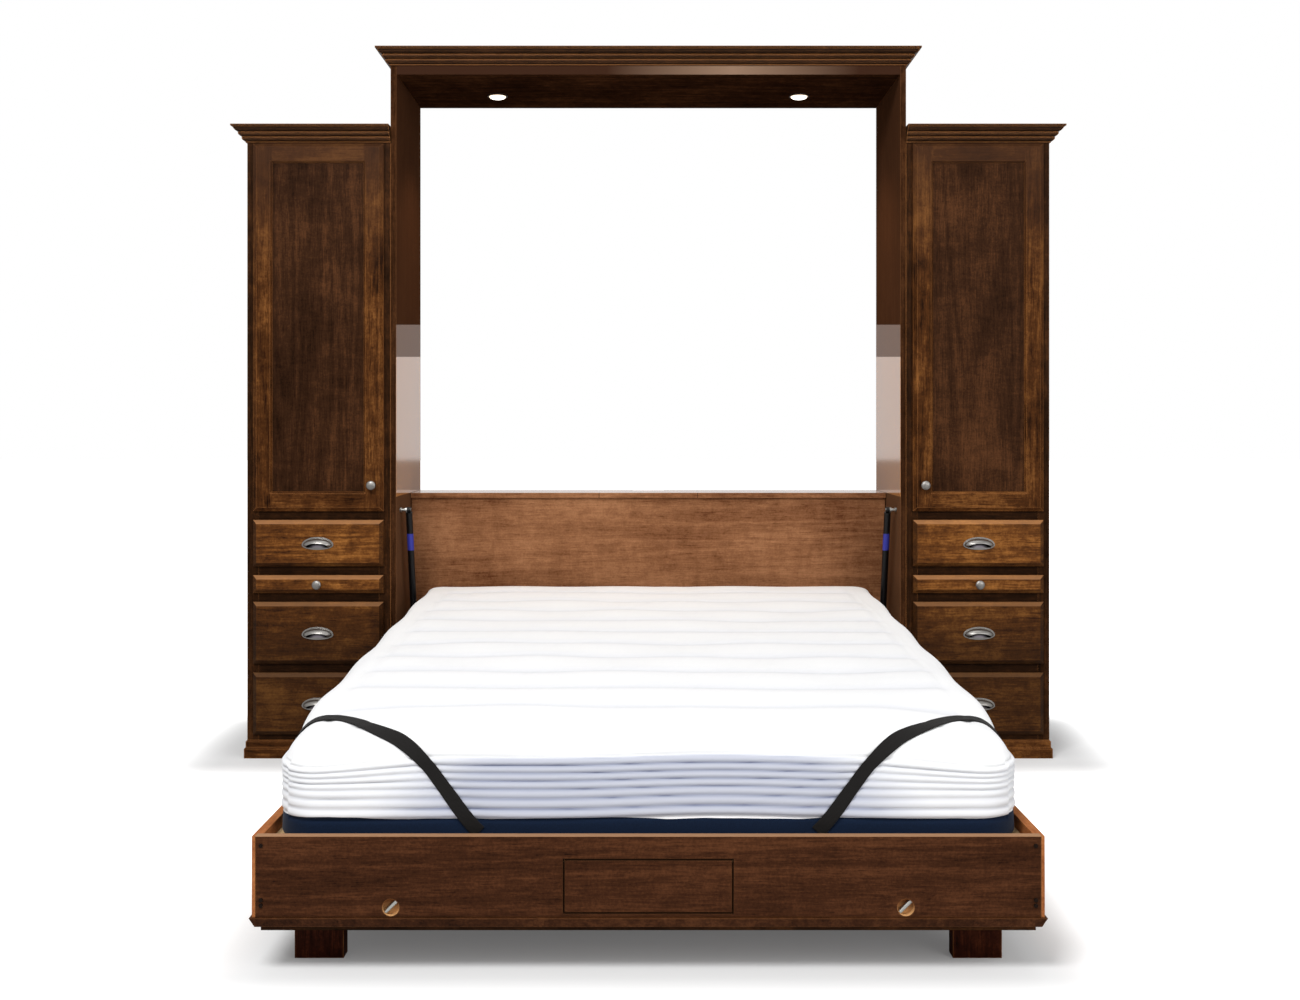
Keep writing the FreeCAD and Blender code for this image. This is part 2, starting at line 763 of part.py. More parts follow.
def leg_bracket(name, side):
    low_x = "leg_near_x"
    high_x = "leg_far_x"
    ear_gap = "running_gap + leg_ear_thick"
    plate = block(
        f"leg_plate_{name}", (f"{low_x} - ({ear_gap})", f"{high_x} + {ear_gap}"),
        ("leg_back", "leg_front + leg_plate_margin"), ("leg_plate_low", "face_low"), side)
    members = [plate]
    ears = {
        "near": (f"{low_x} - ({ear_gap})", f"{low_x} - running_gap"),
        "far": (f"{high_x} + running_gap", f"{high_x} + {ear_gap}"),
    }
    for end, x in ears.items():
        members.append(block(
            f"leg_ear_{end}_{name}", x, ("leg_back", "leg_back + leg_ear_drop"),
            ("leg_plate_low - leg_ear_drop", "leg_plate_low"), side))
    members.append(bar(
        f"leg_pin_{name}", (f"{low_x} - ({ear_gap})", f"{high_x} + {ear_gap}"),
        "leg_axis_reach", "leg_axis_height", "leg_pin_radius", side))
    return fused(f"leg_bracket_{name}", members)


def crank_point():
    """Where the lower stud of a strut is, as distance from the wall and height, with the bed down."""
    turn = math.radians(number("strut_crank_angle"))
    reach = number("pivot_from_wall") + number("strut_crank") * math.cos(turn)
    height = number("pivot_height") + number("strut_crank") * math.sin(turn)
    return reach, height


def lower_strut_stud(name, side):
    """A stud on the rail that ends just short of the eye of the strut's rod."""
    reach, height = crank_point()
    rail_outer, plane, eye_width, gap = numbers("rail_outer strut_plane strut_eye_width running_gap")
    length = plane - eye_width / 2 - gap - rail_outer
    start = point(side * rail_outer, reach, height)
    return formed(
        f"rail_stud_{name}", Part.makeCylinder(number("strut_nut_radius"), length, start, RIGHT * side))


def make_bed_hardware():
    """Leg brackets, lower strut studs, keeper bars and screw heads."""
    pieces = []
    screw_heights = (
        "rail_top - screw_top_drop", "rail_low + screw_low_rise", "rail_low + screw_low_rise + screw_pitch")
    for name, side in BOTH_SIDES:
        pieces.append(leg_bracket(name, side))
        pieces.append(lower_strut_stud(name, side))
        for index, height in enumerate(screw_heights):
            pieces.append(stud(
                f"screw_{name}_{index}", "rail_outer - screw_from_end",
                ("bed_reach", "bed_reach + screw_head_thick"), height, "screw_head_radius", side))
        keeper_height = number("rail_low") + number("keeper_hole_from_bottom")
        keeper = point(
            side * number("keeper_hole_x"), number("bed_reach") - number("keeper_bar_depth"),
            keeper_height)
        along = FreeCAD.Vector(1, 0, 1).normalize()
        half_length = math.sqrt(number("keeper_hole_radius") ** 2 - number("keeper_bar_radius") ** 2)
        pieces.append(formed(f"keeper_bar_{name}", Part.makeCylinder(
            number("keeper_bar_radius"), 2 * half_length, keeper - along * half_length, along)))
    node_of("bed_hardware", pieces)


# Mattress and straps
def rounded_outline(half_x, low_d, high_d, radius, height):
    """A closed wire: a rectangle with round corners at one height."""
    corners = (
        (half_x - radius, high_d - radius, 0), (-half_x + radius, high_d - radius, 1),
        (-half_x + radius, low_d + radius, 2), (half_x - radius, low_d + radius, 3),
    )
    arcs = []
    for x, d, quarter in corners:
        ends = []
        for part in (0, 1 / 2, 1):
            turn = math.radians(QUARTER_TURN * (quarter + part))
            ends.append(point(x + radius * math.cos(turn), d + radius * math.sin(turn), height))
        arcs.append(Part.Arc(*ends).toShape())
    edges = []
    for index, arc in enumerate(arcs):
        following = arcs[(index + 1) % len(arcs)]
        edges.append(arc)
        edges.append(Part.makeLine(arc.Vertexes[-1].Point, following.Vertexes[0].Point))
    return Part.Wire(Part.__sortEdges__(edges))


def make_mattress():
    """A mattress with rolled edges, sides drawn in between them and a low crown on top."""
    half, head, foot = numbers("mattress_half mattress_from_wall mattress_foot")
    corner, low, thick = numbers("mattress_corner deck_top mattress_thick")
    wires = []
    for up_share, in_share in MATTRESS_SECTION_SHARES:
        drawn_in = in_share * corner
        wires.append(rounded_outline(
            half - drawn_in, head + drawn_in, foot - drawn_in, corner - drawn_in / 2, low + up_share * thick))
    wires.append(rounded_outline(half - corner, head + corner, foot - corner, corner, low + thick))
    node("mattress", formed("mattress_pad", skin(wires)))


def strap_section(centre, along, outward):
    """The strap's cross-section where it lies on the mattress, square to the way it runs."""
    across = along.cross(outward).normalize() * (number("strap_width") / 2)
    outward = outward.normalize() * number("strap_thick")
    return closed_wire([centre - across, centre + across, centre + across + outward, centre - across + outward])


def make_straps():
    """Two webbing straps, each over one foot corner of the mattress, from its side to its foot."""
    half, foot, top, low, thick = numbers("mattress_half mattress_foot mattress_top deck_top mattress_thick")
    side_reach, foot_spread, low_spread = numbers("strap_side_reach strap_foot_spread strap_low_spread")
    roll = thick * MATTRESS_ROLL_SHARE
    hem = low + number("mattress_sink")
    straps = []
    for name, side in BOTH_SIDES:
        rows = [(point(side * half, foot - side_reach, hem), FreeCAD.Vector(side, 0, 0))]
        for along_share, drop_share, out_side, out_foot, out_up in STRAP_PATH_SHARES:
            centre = point(
                side * (half - along_share * foot_spread), foot - (1 - along_share) * side_reach,
                top - drop_share * roll)
            rows.append((centre, FreeCAD.Vector(side * out_side, -out_foot, out_up)))
        rows.append((point(side * (half - low_spread), foot, hem), FreeCAD.Vector(FORWARD)))
        wires = []
        for index, (centre, outward) in enumerate(rows):
            before = rows[max(index - 1, 0)][0]
            after = rows[min(index + 1, len(rows) - 1)][0]
            wires.append(strap_section(centre, after - before, outward))
        straps.append(formed(f"strap_{name}", skin(wires)))
    node_of("mattress_straps", straps)


# Gas struts
def make_struts():
    """Each strut has a tube that turns on a stud of the cabinet and a rod that slides out of it."""
    plane, stud_reach, stud_height = numbers("strut_plane strut_stud_reach strut_stud_height")
    tube_radius, bore_radius, rod_radius = numbers("strut_tube_radius strut_bore_radius strut_rod_radius")
    eye_radius, eye_width, stud_radius = numbers("strut_eye_radius strut_eye_width strut_stud_radius")
    tube_length, end_wall, play = numbers("strut_tube_length strut_end_wall pin_play")
    piston_length, piston_gap = numbers("strut_piston_length strut_piston_travel_gap")
    lower_reach, lower_height = crank_point()
    for name, side in BOTH_SIDES:
        x = side * plane
        upper = point(x, stud_reach, stud_height)
        lower = point(x, lower_reach, lower_height)
        along = (lower - upper).normalize()
        eye_start = FreeCAD.Vector(-eye_width / 2, 0, 0)

        def eye(centre):
            ring = Part.makeCylinder(eye_radius, eye_width, centre + eye_start, RIGHT)
            return ring, Part.makeCylinder(stud_radius + play, eye_width, centre + eye_start, RIGHT)

        ring, hole = eye(upper)
        neck = Part.makeCylinder(rod_radius, eye_radius + end_wall, upper, along)
        tube_start = upper + along * (eye_radius + play)
        tube = Part.makeCylinder(tube_radius, tube_length, tube_start, along)
        bore = Part.makeCylinder(
            bore_radius, tube_length - 2 * end_wall, tube_start + along * end_wall, along)
        gland = Part.makeCylinder(
            rod_radius + play, 2 * end_wall, tube_start + along * (tube_length - end_wall * 3 / 2), along)
        body = tube.fuse([ring, neck]).cut([hole, bore, gland])
        node(f"strut_tube_{name}", formed(f"gas_tube_{name}", body.removeSplitter()))

        ring, hole = eye(lower)
        piston_start = tube_start + along * (end_wall + piston_gap)
        rod = Part.makeCylinder(rod_radius, (lower - piston_start).Length, piston_start, along)
        piston = Part.makeCylinder(bore_radius - play, piston_length, piston_start, along)
        moving = rod.fuse([ring, piston]).cut([hole])
        node(f"strut_rod_{name}", formed(f"gas_rod_{name}", moving.removeSplitter()))


# Cupboard piers
PIER_FRONTS = ("bottom", "middle", "tray", "top", "door")


def make_pier_frames():
    frames = []
    d = ("header_back", "cabinet_depth")
    for name, side in BOTH_SIDES:
        frames.append(block(
            f"pier_stile_near_{name}", ("cabinet_outer", "opening_low_x"), d, ("0", "pier_height"), side))
        frames.append(block(
            f"pier_stile_far_{name}", ("opening_high_x", "pier_outer"), d, ("0", "pier_height"), side))
        spans = {"foot": ("0", "bottom_low + rail_overlap")}
        for lower, upper in zip(PIER_FRONTS, PIER_FRONTS[1:]):
            spans[upper] = (f"{lower}_high - rail_overlap", f"{upper}_low + rail_overlap")
        spans["head"] = ("door_high - rail_overlap", "pier_height")
        for part, z in spans.items():
            frames.append(block(
                f"pier_rail_{part}_{name}", ("opening_low_x", "opening_high_x"), d, z, side))
    node_of("pier_face_frames", frames)


def make_pier_carcass(name, side):
    """Case boards, shelves and the wooden runners that the drawers slide on."""
    inside = ("pier_inner_face", "pier_outer_face")
    behind = ("back_thick", "header_back")
    boards = [
        block(f"case_near_{name}", ("cabinet_outer", "pier_inner_face"), ("0", "header_back"),
              ("0", "pier_height"), side),
        block(f"case_far_{name}", ("pier_outer_face", "pier_outer"), ("0", "header_back"),
              ("0", "pier_height"), side),
        block(f"case_back_{name}", inside, ("0", "back_thick"), ("0", "pier_height"), side),
        block(f"case_top_{name}", inside, behind, ("pier_top_low", "pier_height"), side),
        block(f"case_floor_{name}", inside, behind, ("door_floor - board", "door_floor"), side),
    ]
    count = int(number("shelf_count"))
    bay = f"(pier_top_low - door_floor - {count} * board) / ({count} + 1)"
    for index in range(count):
        low = f"door_floor + ({bay}) * ({index} + 1) + board * {index}"
        boards.append(block(
            f"shelf_{index}_{name}", inside, ("back_thick", "header_back - shelf_setback"),
            (low, f"{low} + board"), side))
    for front in PIER_FRONTS[:-1]:
        top = f"{front}_low + rail_overlap"
        z = (f"{top} - board", top)
        boards.append(block(
            f"runner_near_{front}_{name}", ("pier_inner_face", "pier_inner_face + runner_width"),
            behind, z, side))
        boards.append(block(
            f"runner_far_{front}_{name}", ("pier_outer_face - runner_width", "pier_outer_face"),
            behind, z, side))
    node_of(f"pier_carcass_{name}", boards)


def make_pier_bases():
    """Base moulding along the front and the outer side of each pier."""
    profile = scaled_profile(BASE_SHARES, *numbers("base_thick base_height"))
    runs = []
    for name, side in BOTH_SIDES:
        runs += moulding_around(f"base_run_{name}", pier_corners(side), profile, 0)
    node_of("pier_bases", runs)


def make_front(label, low, high, side):
    """An overlay drawer front with bevelled edges."""
    x = ("front_low_x", "front_high_x")
    bevel_back = "front_reach - front_bevel_depth"
    back = block(f"{label}_back", x, ("cabinet_depth", bevel_back), (low, high), side)
    face = bevel_block(
        f"{label}_face", x, (bevel_back, "front_reach"), (low, high), "front_bevel_width", side)
    return fused(f"{label}_board", [back, face])


def make_drawer(name, side, front, pull_form):
    low = f"{front}_low"
    high = f"{front}_high"
    label = f"{front}_drawer"
    node(f"{label}_front_{name}", make_front(f"{label}_{name}", low, high, side))

    near = "opening_low_x + drawer_side_gap"
    far = "opening_high_x - drawer_side_gap"
    floor = f"{low} + rail_overlap + running_gap"
    rim = f"{high} - rail_overlap - drawer_top_gap"
    start = "drawer_rear_gap"
    end = "cabinet_depth"
    inner_x = (f"{near} + drawer_wall", f"{far} - drawer_wall")
    walls = [
        block(f"{label}_near_{name}", (near, f"{near} + drawer_wall"), (start, end), (floor, rim), side),
        block(f"{label}_far_{name}", (f"{far} - drawer_wall", far), (start, end), (floor, rim), side),
        block(f"{label}_rear_{name}", inner_x, (start, f"{start} + drawer_wall"), (floor, rim), side),
        block(f"{label}_head_{name}", inner_x, (f"{end} - drawer_wall", end), (floor, rim), side),
        block(f"{label}_base_{name}", inner_x, (f"{start} + drawer_wall", f"{end} - drawer_wall"),
              (floor, f"{floor} + drawer_base"), side),
    ]
    node_of(f"{label}_box_{name}", walls)
    middle = f"({low} + {high} - pull_rise + pull_drop) / 2"
    make_pull(f"{front}_drawer_pull_{name}", pull_form, side, middle)


def make_tray(name, side):
    floor = "tray_low + rail_overlap + running_gap"
    board = block(
        f"tray_board_{name}", ("opening_low_x + drawer_side_gap", "opening_high_x - drawer_side_gap"),
        ("drawer_rear_gap", "cabinet_depth"), (floor, f"{floor} + board"), side)
    front = make_front(f"tray_{name}", "tray_low", "tray_high", side)
    node_of(f"tray_{name}", [front, board])
    make_knob(f"tray_knob_{name}", side, "pier_middle", "(tray_low + tray_high) / 2")


def make_door(name, side):
    """A framed door, its window edged by a sloped moulding, with a thin panel set back in it."""
    x = ("front_low_x", "front_high_x")
    whole = make_front(f"door_{name}", "door_low", "door_high", side)
    window_x = (f"{x[0]} + door_stile", f"{x[1]} - door_stile")
    window_z = ("door_low + door_stile", "door_high - door_stile")
    window = block(
        f"door_window_{name}", window_x, ("cabinet_depth - overrun", "front_reach + overrun"), window_z, side)
    slope = bevel_block(
        f"door_slope_{name}", window_x, ("front_reach - door_moulding", "front_reach"), window_z,
        "-door_moulding", side)
    opening = fused(f"door_opening_{name}", [window, slope])
    node(f"door_frame_{name}", less(f"door_frame_cut_{name}", whole, [opening]))
    panel_front = "front_reach - door_recess"
    node(f"door_panel_{name}", block(
        f"door_panel_board_{name}", window_x, (f"{panel_front} - door_panel_thick", panel_front), window_z, side))
    make_knob(f"door_knob_{name}", side, "front_low_x + knob_from_edge", "door_low + knob_above_door")


# Knobs and cup pulls
def make_knob(label, side, x, z):
    """A round mushroom knob on a spreading foot."""
    foot_end = "front_reach + knob_foot_thick"
    cap_middle = "front_reach + knob_length - knob_cap_thick"
    foot = stud(f"{label}_foot", x, ("front_reach", foot_end), z, "knob_foot_radius", side)
    neck = stud(f"{label}_neck", x, (foot_end, cap_middle), z, "knob_neck_radius", side)
    cap = DOC.addObject("Part::Ellipsoid", f"{label}_cap")
    cap.Placement = FreeCAD.Placement(FreeCAD.Vector(), FreeCAD.Rotation(RIGHT, QUARTER_TURN))
    bind(cap, "Radius1", "knob_cap_thick")
    bind(cap, "Radius2", "knob_radius")
    bind(cap, "Radius3", "knob_radius")
    place(cap, f"{side} * ({x})", f"wall_plane - ({cap_middle})", z)
    node(label, fused(f"{label}_whole", [foot, neck, cap]))


def half_oval(name, radii, height="0"):
    """The front half of an ellipsoid: its radii up, across and out, and the height of its middle."""
    oval = DOC.addObject("Part::Ellipsoid", name)
    oval.Angle3 = HALF_TURN
    oval.Placement = FreeCAD.Placement(FreeCAD.Vector(), FreeCAD.Rotation(FreeCAD.Vector(0, 0, 1), HALF_TURN))
    for part, radius in zip(("Radius1", "Radius2", "Radius3"), radii):
        bind(oval, part, radius)
    bind(oval, "Placement.Base.z", height)
    return oval


def pull_bulge(name, inset, depth):
    """A bulge whose outline is a tall half ellipse above the middle and a flat half ellipse below it."""
    across = f"pull_width / 2 - ({inset})"
    upper = half_oval(f"{name}_upper", (f"pull_rise - ({inset})", across, depth))
    upper.Angle1 = 0
    lower = half_oval(f"{name}_lower", (f"pull_drop - ({inset})", across, depth))
    lower.Angle2 = 0
    return fused(name, [upper, lower])


def make_pull_form():
    """A cup pull about the origin: a plate, and over it a hood with an arched mouth at its foot."""
    outer = pull_bulge("pull_outer", "pull_rim", "pull_depth")
    inner = pull_bulge("pull_inner", "pull_rim + pull_wall", "pull_depth - pull_wall")
    mouth = half_oval(
        "pull_mouth", ("pull_mouth_height", "pull_mouth_width / 2", "2 * pull_depth"), "-pull_hood_drop")
    x = ("-pull_width", "pull_width")
    behind = "wall_plane - overrun"
    slab = block(
        "pull_slab", x, (behind, "wall_plane + pull_plate_thick"), ("-pull_width", "pull_width"))
    hood_space = block(
        "pull_hood_space", x, (behind, "wall_plane + 2 * pull_depth"), ("-pull_hood_drop", "pull_width"))
    plate = shared("pull_plate", pull_bulge("pull_plate_form", "0", "pull_depth"), slab)
    shell = less("pull_shell", shared("pull_hood", outer, hood_space), [inner, mouth])
    return fused("pull_form", [plate, shell])


def make_pull(label, form, side, middle):
    pull = collected(label + "_set", [form])
    place(pull, f"{side} * pier_middle", "wall_plane - front_reach", middle)
    node(label, pull)


def make_piers():
    make_pier_frames()
    make_pier_bases()
    pull_form = make_pull_form()
    for name, side in BOTH_SIDES:
        make_pier_carcass(name, side)
        for front in ("bottom", "middle", "top"):
            make_drawer(name, side, front, pull_form)
        make_tray(name, side)
        make_door(name, side)


def check_document():
    """Stop if any object of the document failed, or a node's shape is empty or not valid."""
    for item in DOC.Objects:
        if "Invalid" in item.State or "Error" in item.State:
            raise RuntimeError(f"{item.Label} failed: {item.State}")
    for item in NODES:
        if item.Shape.isNull() or not item.Shape.isValid() or not item.Shape.Solids:
            raise RuntimeError(f"{item.Label} has no valid shape")


def write_parts():
    os.makedirs("parts", exist_ok=True)
    for item in NODES:
        item.Shape.exportStep(f"parts/{item.Label}.step")
        print(item.Label, len(item.Shape.Solids), "solids")
    print(len(NODES), "nodes")


def main():
    fill_sheets()
    make_cabinet()
    make_crowns()
    make_cabinet_pins()
    make_headboard()
    make_bed_rails()
    make_footboard()
    make_deck()
    make_face()
    make_legs()
    make_bed_hardware()
    make_mattress()
    make_straps()
    make_struts()
    make_piers()
    DOC.recompute()
    check_document()
    write_parts()


main()
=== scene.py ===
import bpy
import math
import numpy as np
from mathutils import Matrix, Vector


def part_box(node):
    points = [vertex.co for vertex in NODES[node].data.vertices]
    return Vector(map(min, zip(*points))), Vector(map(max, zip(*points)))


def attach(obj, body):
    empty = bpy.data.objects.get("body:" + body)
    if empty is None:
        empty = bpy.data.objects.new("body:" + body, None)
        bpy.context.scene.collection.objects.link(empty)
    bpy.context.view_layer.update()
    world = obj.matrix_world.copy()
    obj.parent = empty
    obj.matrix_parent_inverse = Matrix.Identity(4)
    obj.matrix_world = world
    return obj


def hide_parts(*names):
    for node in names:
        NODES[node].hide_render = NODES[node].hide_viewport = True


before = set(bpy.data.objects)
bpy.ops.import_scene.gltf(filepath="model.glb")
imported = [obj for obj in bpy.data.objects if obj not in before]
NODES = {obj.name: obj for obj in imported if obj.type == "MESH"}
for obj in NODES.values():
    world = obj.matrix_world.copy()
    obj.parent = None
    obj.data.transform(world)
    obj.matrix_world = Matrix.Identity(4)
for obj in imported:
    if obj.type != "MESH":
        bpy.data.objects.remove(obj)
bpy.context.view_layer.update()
SIDES = ("left", "right")
DRAWERS = ("bottom", "middle", "top")

# Places that the looks share, in metres
WALL_Y = 1.1775
CABINET_FRONT = WALL_Y - 0.495
SIDE_INNER = 0.832
LEDGE_TOP = 0.862
PIER_MIDDLE = 1.0875
PUCK_X, PUCK_Y, PUCK_Z = 0.529, WALL_Y - 0.201, 2.236
MATTRESS_LOW, MATTRESS_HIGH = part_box("mattress")
RAIL_LOW, RAIL_TOP = (corner.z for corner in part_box("footboard"))


def srgb(red, green, blue, alpha=1.0):
    """A colour from its 0 to 255 values as screens show it."""
    out = []
    for part in (red, green, blue):
        share = part / 255
        out.append(share / 12.92 if share <= 0.04045 else ((share + 0.055) / 1.055) ** 2.4)
    return (*out, alpha)


# Colours, and wood tones from dark to pale
DARK = (srgb(22, 9, 3), srgb(53, 31, 17), srgb(92, 57, 33))
DEEP = (srgb(20, 9, 4), srgb(46, 25, 13), srgb(76, 46, 26))
MOULDED = (srgb(11, 5, 2), srgb(30, 17, 9), srgb(62, 38, 22))
FRAME = (srgb(20, 9, 3), srgb(46, 26, 12), srgb(82, 49, 25))
LEG = (srgb(20, 6, 2), srgb(48, 19, 10), srgb(86, 42, 22))
HONEY = (srgb(46, 22, 6), srgb(102, 60, 24), srgb(168, 110, 52))
GOLDEN = (srgb(28, 13, 5), srgb(75, 43, 19), srgb(134, 86, 43))
BROWN = (srgb(24, 11, 6), srgb(62, 35, 20), srgb(100, 61, 37))
WARM = (srgb(88, 50, 28), srgb(134, 90, 60), srgb(170, 120, 84))
EDGE = (srgb(118, 64, 34), srgb(160, 98, 56), srgb(190, 128, 80))
PLAIN = (srgb(176, 142, 100), srgb(204, 172, 128), srgb(222, 196, 156))
# Pale wood on edges, partly wear and partly a painted highlight
WORN_AND_LIT_EDGE = srgb(186, 122, 70)
SEAM = srgb(18, 10, 7)
# Painted highlight and painted shade on the bevels of the fronts
BEVEL_HIGHLIGHT, BEVEL_SHADED = srgb(196, 142, 96), srgb(20, 10, 4)
# Painted shade on the lower drawer fronts
LOW_FRONT_SHADE = srgb(26, 13, 5)
# Raw wood in the footboard's holes, painted lit below and painted shaded above
HOLE_RAW_LIT, HOLE_RAW_SHADED = srgb(206, 158, 106), srgb(132, 80, 44)
# Painted highlight along the footboard's top edge
FOOT_TOP_HIGHLIGHT = srgb(170, 130, 98)
# Painted light on the strip under the crown: a sheen and a lit brown
STRIP_SHEEN, STRIP_LIT_BROWN = srgb(140, 112, 92), srgb(58, 36, 25)
# Inner faces of the side boards: their own brown, and painted light below the ledge
SIDE_PLAIN, SIDE_LIT_BELOW_LEDGE = srgb(78, 49, 32), srgb(104, 72, 50)
# Two painted reflections on the inner faces of the side boards
REFLECTION_BROWN, REFLECTION_TAN = srgb(110, 74, 48), srgb(174, 120, 72)
# Painted shade for the pier rails between the drawers, and the door's dark upper wood
PIER_RAIL_SHADE, DOOR_RAIL = srgb(22, 11, 5), srgb(62, 40, 27)
PEWTER = srgb(134, 131, 127)
ZINC = srgb(176, 176, 172)
SCREW = srgb(34, 26, 22)
# Painted shade inside the cup pulls, from the middle to the arch under the hood
RECESS_SHADE = (srgb(134, 128, 134), srgb(74, 70, 74), srgb(16, 14, 14))
BLUE_BAND = srgb(52, 56, 150)
LENS_RIM, LENS_MIDDLE = srgb(255, 226, 196), srgb(255, 248, 238)
# Blue-grey of the cover's belt and channels, also the colour of the painted shade in the belt's furrows
CHANNEL_BLUE = srgb(138, 145, 170)


# Shader sums
class Wire:
    """An output of a shader node that works in sums like a number."""

    def __init__(self, graph, socket):
        self.graph = graph
        self.socket = socket

    def __add__(self, other):
        return self.graph.math("ADD", self, other)

    def __sub__(self, other):
        return self.graph.math("SUBTRACT", self, other)

    def __rsub__(self, other):
        return self.graph.math("SUBTRACT", other, self)

    def __mul__(self, other):
        return self.graph.math("MULTIPLY", self, other)

    __radd__ = __add__
    __rmul__ = __mul__

    def __abs__(self):
        return self.graph.math("ABSOLUTE", self)

    def under(self, limit):
        return self.graph.math("LESS_THAN", self, limit)

    def over(self, limit):
        return self.graph.math("GREATER_THAN", self, limit)

    def at_most(self, limit):
        return self.graph.math("MINIMUM", self, limit)

    def at_least(self, limit):
        return self.graph.math("MAXIMUM", self, limit)

    def clamped(self):
        return self.graph.math("ADD", self, 0.0, clamp=True)


class Graph:
    """The nodes of one material."""

    def __init__(self, name):
        self.material = bpy.data.materials.new(name)
        self.material.use_nodes = True
        self.tree = self.material.node_tree
        self.shader = self.tree.nodes["Principled BSDF"]
        self.coords = self.node("ShaderNodeTexCoord")

    def node(self, kind, settings=None, **inputs):
        made = self.tree.nodes.new(kind)
        for key, value in (settings or {}).items():
            setattr(made, key, value)
        for key, value in inputs.items():
            self.feed(made.inputs[key.replace("_", " ")], value)
        return made

    def feed(self, socket, value):
        if isinstance(value, Wire):
            self.tree.links.new(value.socket, socket)
        else:
            socket.default_value = value

    def math(self, operation, first, second=0.0, clamp=False):
        made = self.node("ShaderNodeMath", {"operation": operation, "use_clamp": clamp})
        self.feed(made.inputs[0], first)
        self.feed(made.inputs[1], second)
        return Wire(self, made.outputs[0])

    def split(self, output):
        """X, Y and Z of one of the texture coordinates."""
        made = self.node("ShaderNodeSeparateXYZ", Vector=Wire(self, self.coords.outputs[output]))
        return [Wire(self, out) for out in made.outputs]

    def place(self):
        """X, Y and Z of the point on the object, in metres."""
        return self.split("Object")

    def facing(self):
        """X, Y and Z of the way that the surface faces."""
        return self.split("Normal")

    def attribute(self, name):
        return Wire(self, self.node("ShaderNodeAttribute", {"attribute_name": name}).outputs["Fac"])

    def vector(self, x, y, z):
        return Wire(self, self.node("ShaderNodeCombineXYZ", X=x, Y=y, Z=z).outputs[0])

    def noise(self, vector, scale, detail, roughness, distortion=0.0):
        made = self.node(
            "ShaderNodeTexNoise", Vector=vector, Scale=scale, Detail=detail, Roughness=roughness,
            Distortion=distortion)
        return Wire(self, made.outputs["Fac"])

    def waves(self, vector, direction, scale, distortion):
        made = self.node(
            "ShaderNodeTexWave", {"wave_type": "BANDS", "bands_direction": direction}, Vector=vector,
            Scale=scale, Distortion=distortion, Detail=2.0)
        return Wire(self, made.outputs["Fac"])

    def ramp(self, factor, *stops):
        made = self.node("ShaderNodeValToRGB", Fac=factor)
        elements = made.color_ramp.elements
        while len(elements) < len(stops):
            elements.new(0.5)
        for element, (position, colour) in zip(elements, stops):
            element.position = position
            element.color = colour
        return Wire(self, made.outputs["Color"])

    def mix(self, factor, first, second):
        made = self.node("ShaderNodeMix", {"data_type": "RGBA"})
        factor_in, first_in, second_in, colour_out = 0, 6, 7, 2
        self.feed(made.inputs[factor_in], factor)
        self.feed(made.inputs[first_in], first)
        self.feed(made.inputs[second_in], second)
        return Wire(self, made.outputs[colour_out])

    def edges(self, radius, strength):
        """1 along sharp edges and 0 elsewhere, and the normal with those edges rounded."""
        bevel = self.node("ShaderNodeBevel", {"samples": 4}, Radius=radius)
        rounded = Wire(self, bevel.outputs[0])
        true = Wire(self, self.node("ShaderNodeNewGeometry").outputs["True Normal"])
        dot = self.node("ShaderNodeVectorMath", {"operation": "DOT_PRODUCT"})
        self.feed(dot.inputs[0], rounded)
        self.feed(dot.inputs[1], true)
        turned = (1.0 - Wire(self, dot.outputs["Value"])) * strength
        return turned.clamped(), rounded

    def bump(self, height, strength, distance, normal=None):
        made = self.node("ShaderNodeBump", Height=height, Strength=strength, Distance=distance)
        if normal is not None:
            self.feed(made.inputs["Normal"], normal)
        return Wire(self, made.outputs[0])

    def finish(self, **inputs):
        for key, value in inputs.items():
            self.feed(self.shader.inputs[key.replace("_", " ")], value)
        return self.material


# Grain, as how far the fibres run along X, Y and Z. A stile starts its distance from a pier's middle, and a
# face is turned towards an axis where that part of its normal is over TURNED.
PIER_STILE, DOOR_STILE = 0.1985, 0.151
FOOT_RAIL_Y, HEAD_RAIL_Y = WALL_Y - 2.271, WALL_Y - 0.269
MOULDING_SIDES = 0.49
TURNED = 0.3


def along(axis):
    """Grain that runs along one axis all over."""
    return lambda graph, x, y, z: [1.0 if i == axis else 0.0 for i in range(3)]


def around_case(graph, x, y, z):
    """Grain along the run of a moulding: X at the front, Y on the sides."""
    faces_side = abs(graph.facing()[0]).over(TURNED)
    behind_front = (WALL_Y - y).under(MOULDING_SIDES)
    on_side = faces_side * behind_front
    return [1.0 - on_side, on_side, 0.0]


def up_stiles(stile_from):
    """Grain up the two stiles of a pier or a door, and across the rails between them."""
    def grain(graph, x, y, z):
        stile = abs(abs(x) - PIER_MIDDLE).over(stile_from)
        return [1.0 - stile, 0.0, stile]
    return grain


def in_face_frame(graph, x, y, z):
    """Grain along the length of the bed in the long members and across it in the rails."""
    rail = (y.under(FOOT_RAIL_Y) + y.over(HEAD_RAIL_Y)).clamped()
    return [rail, 1.0 - rail, 0.0]


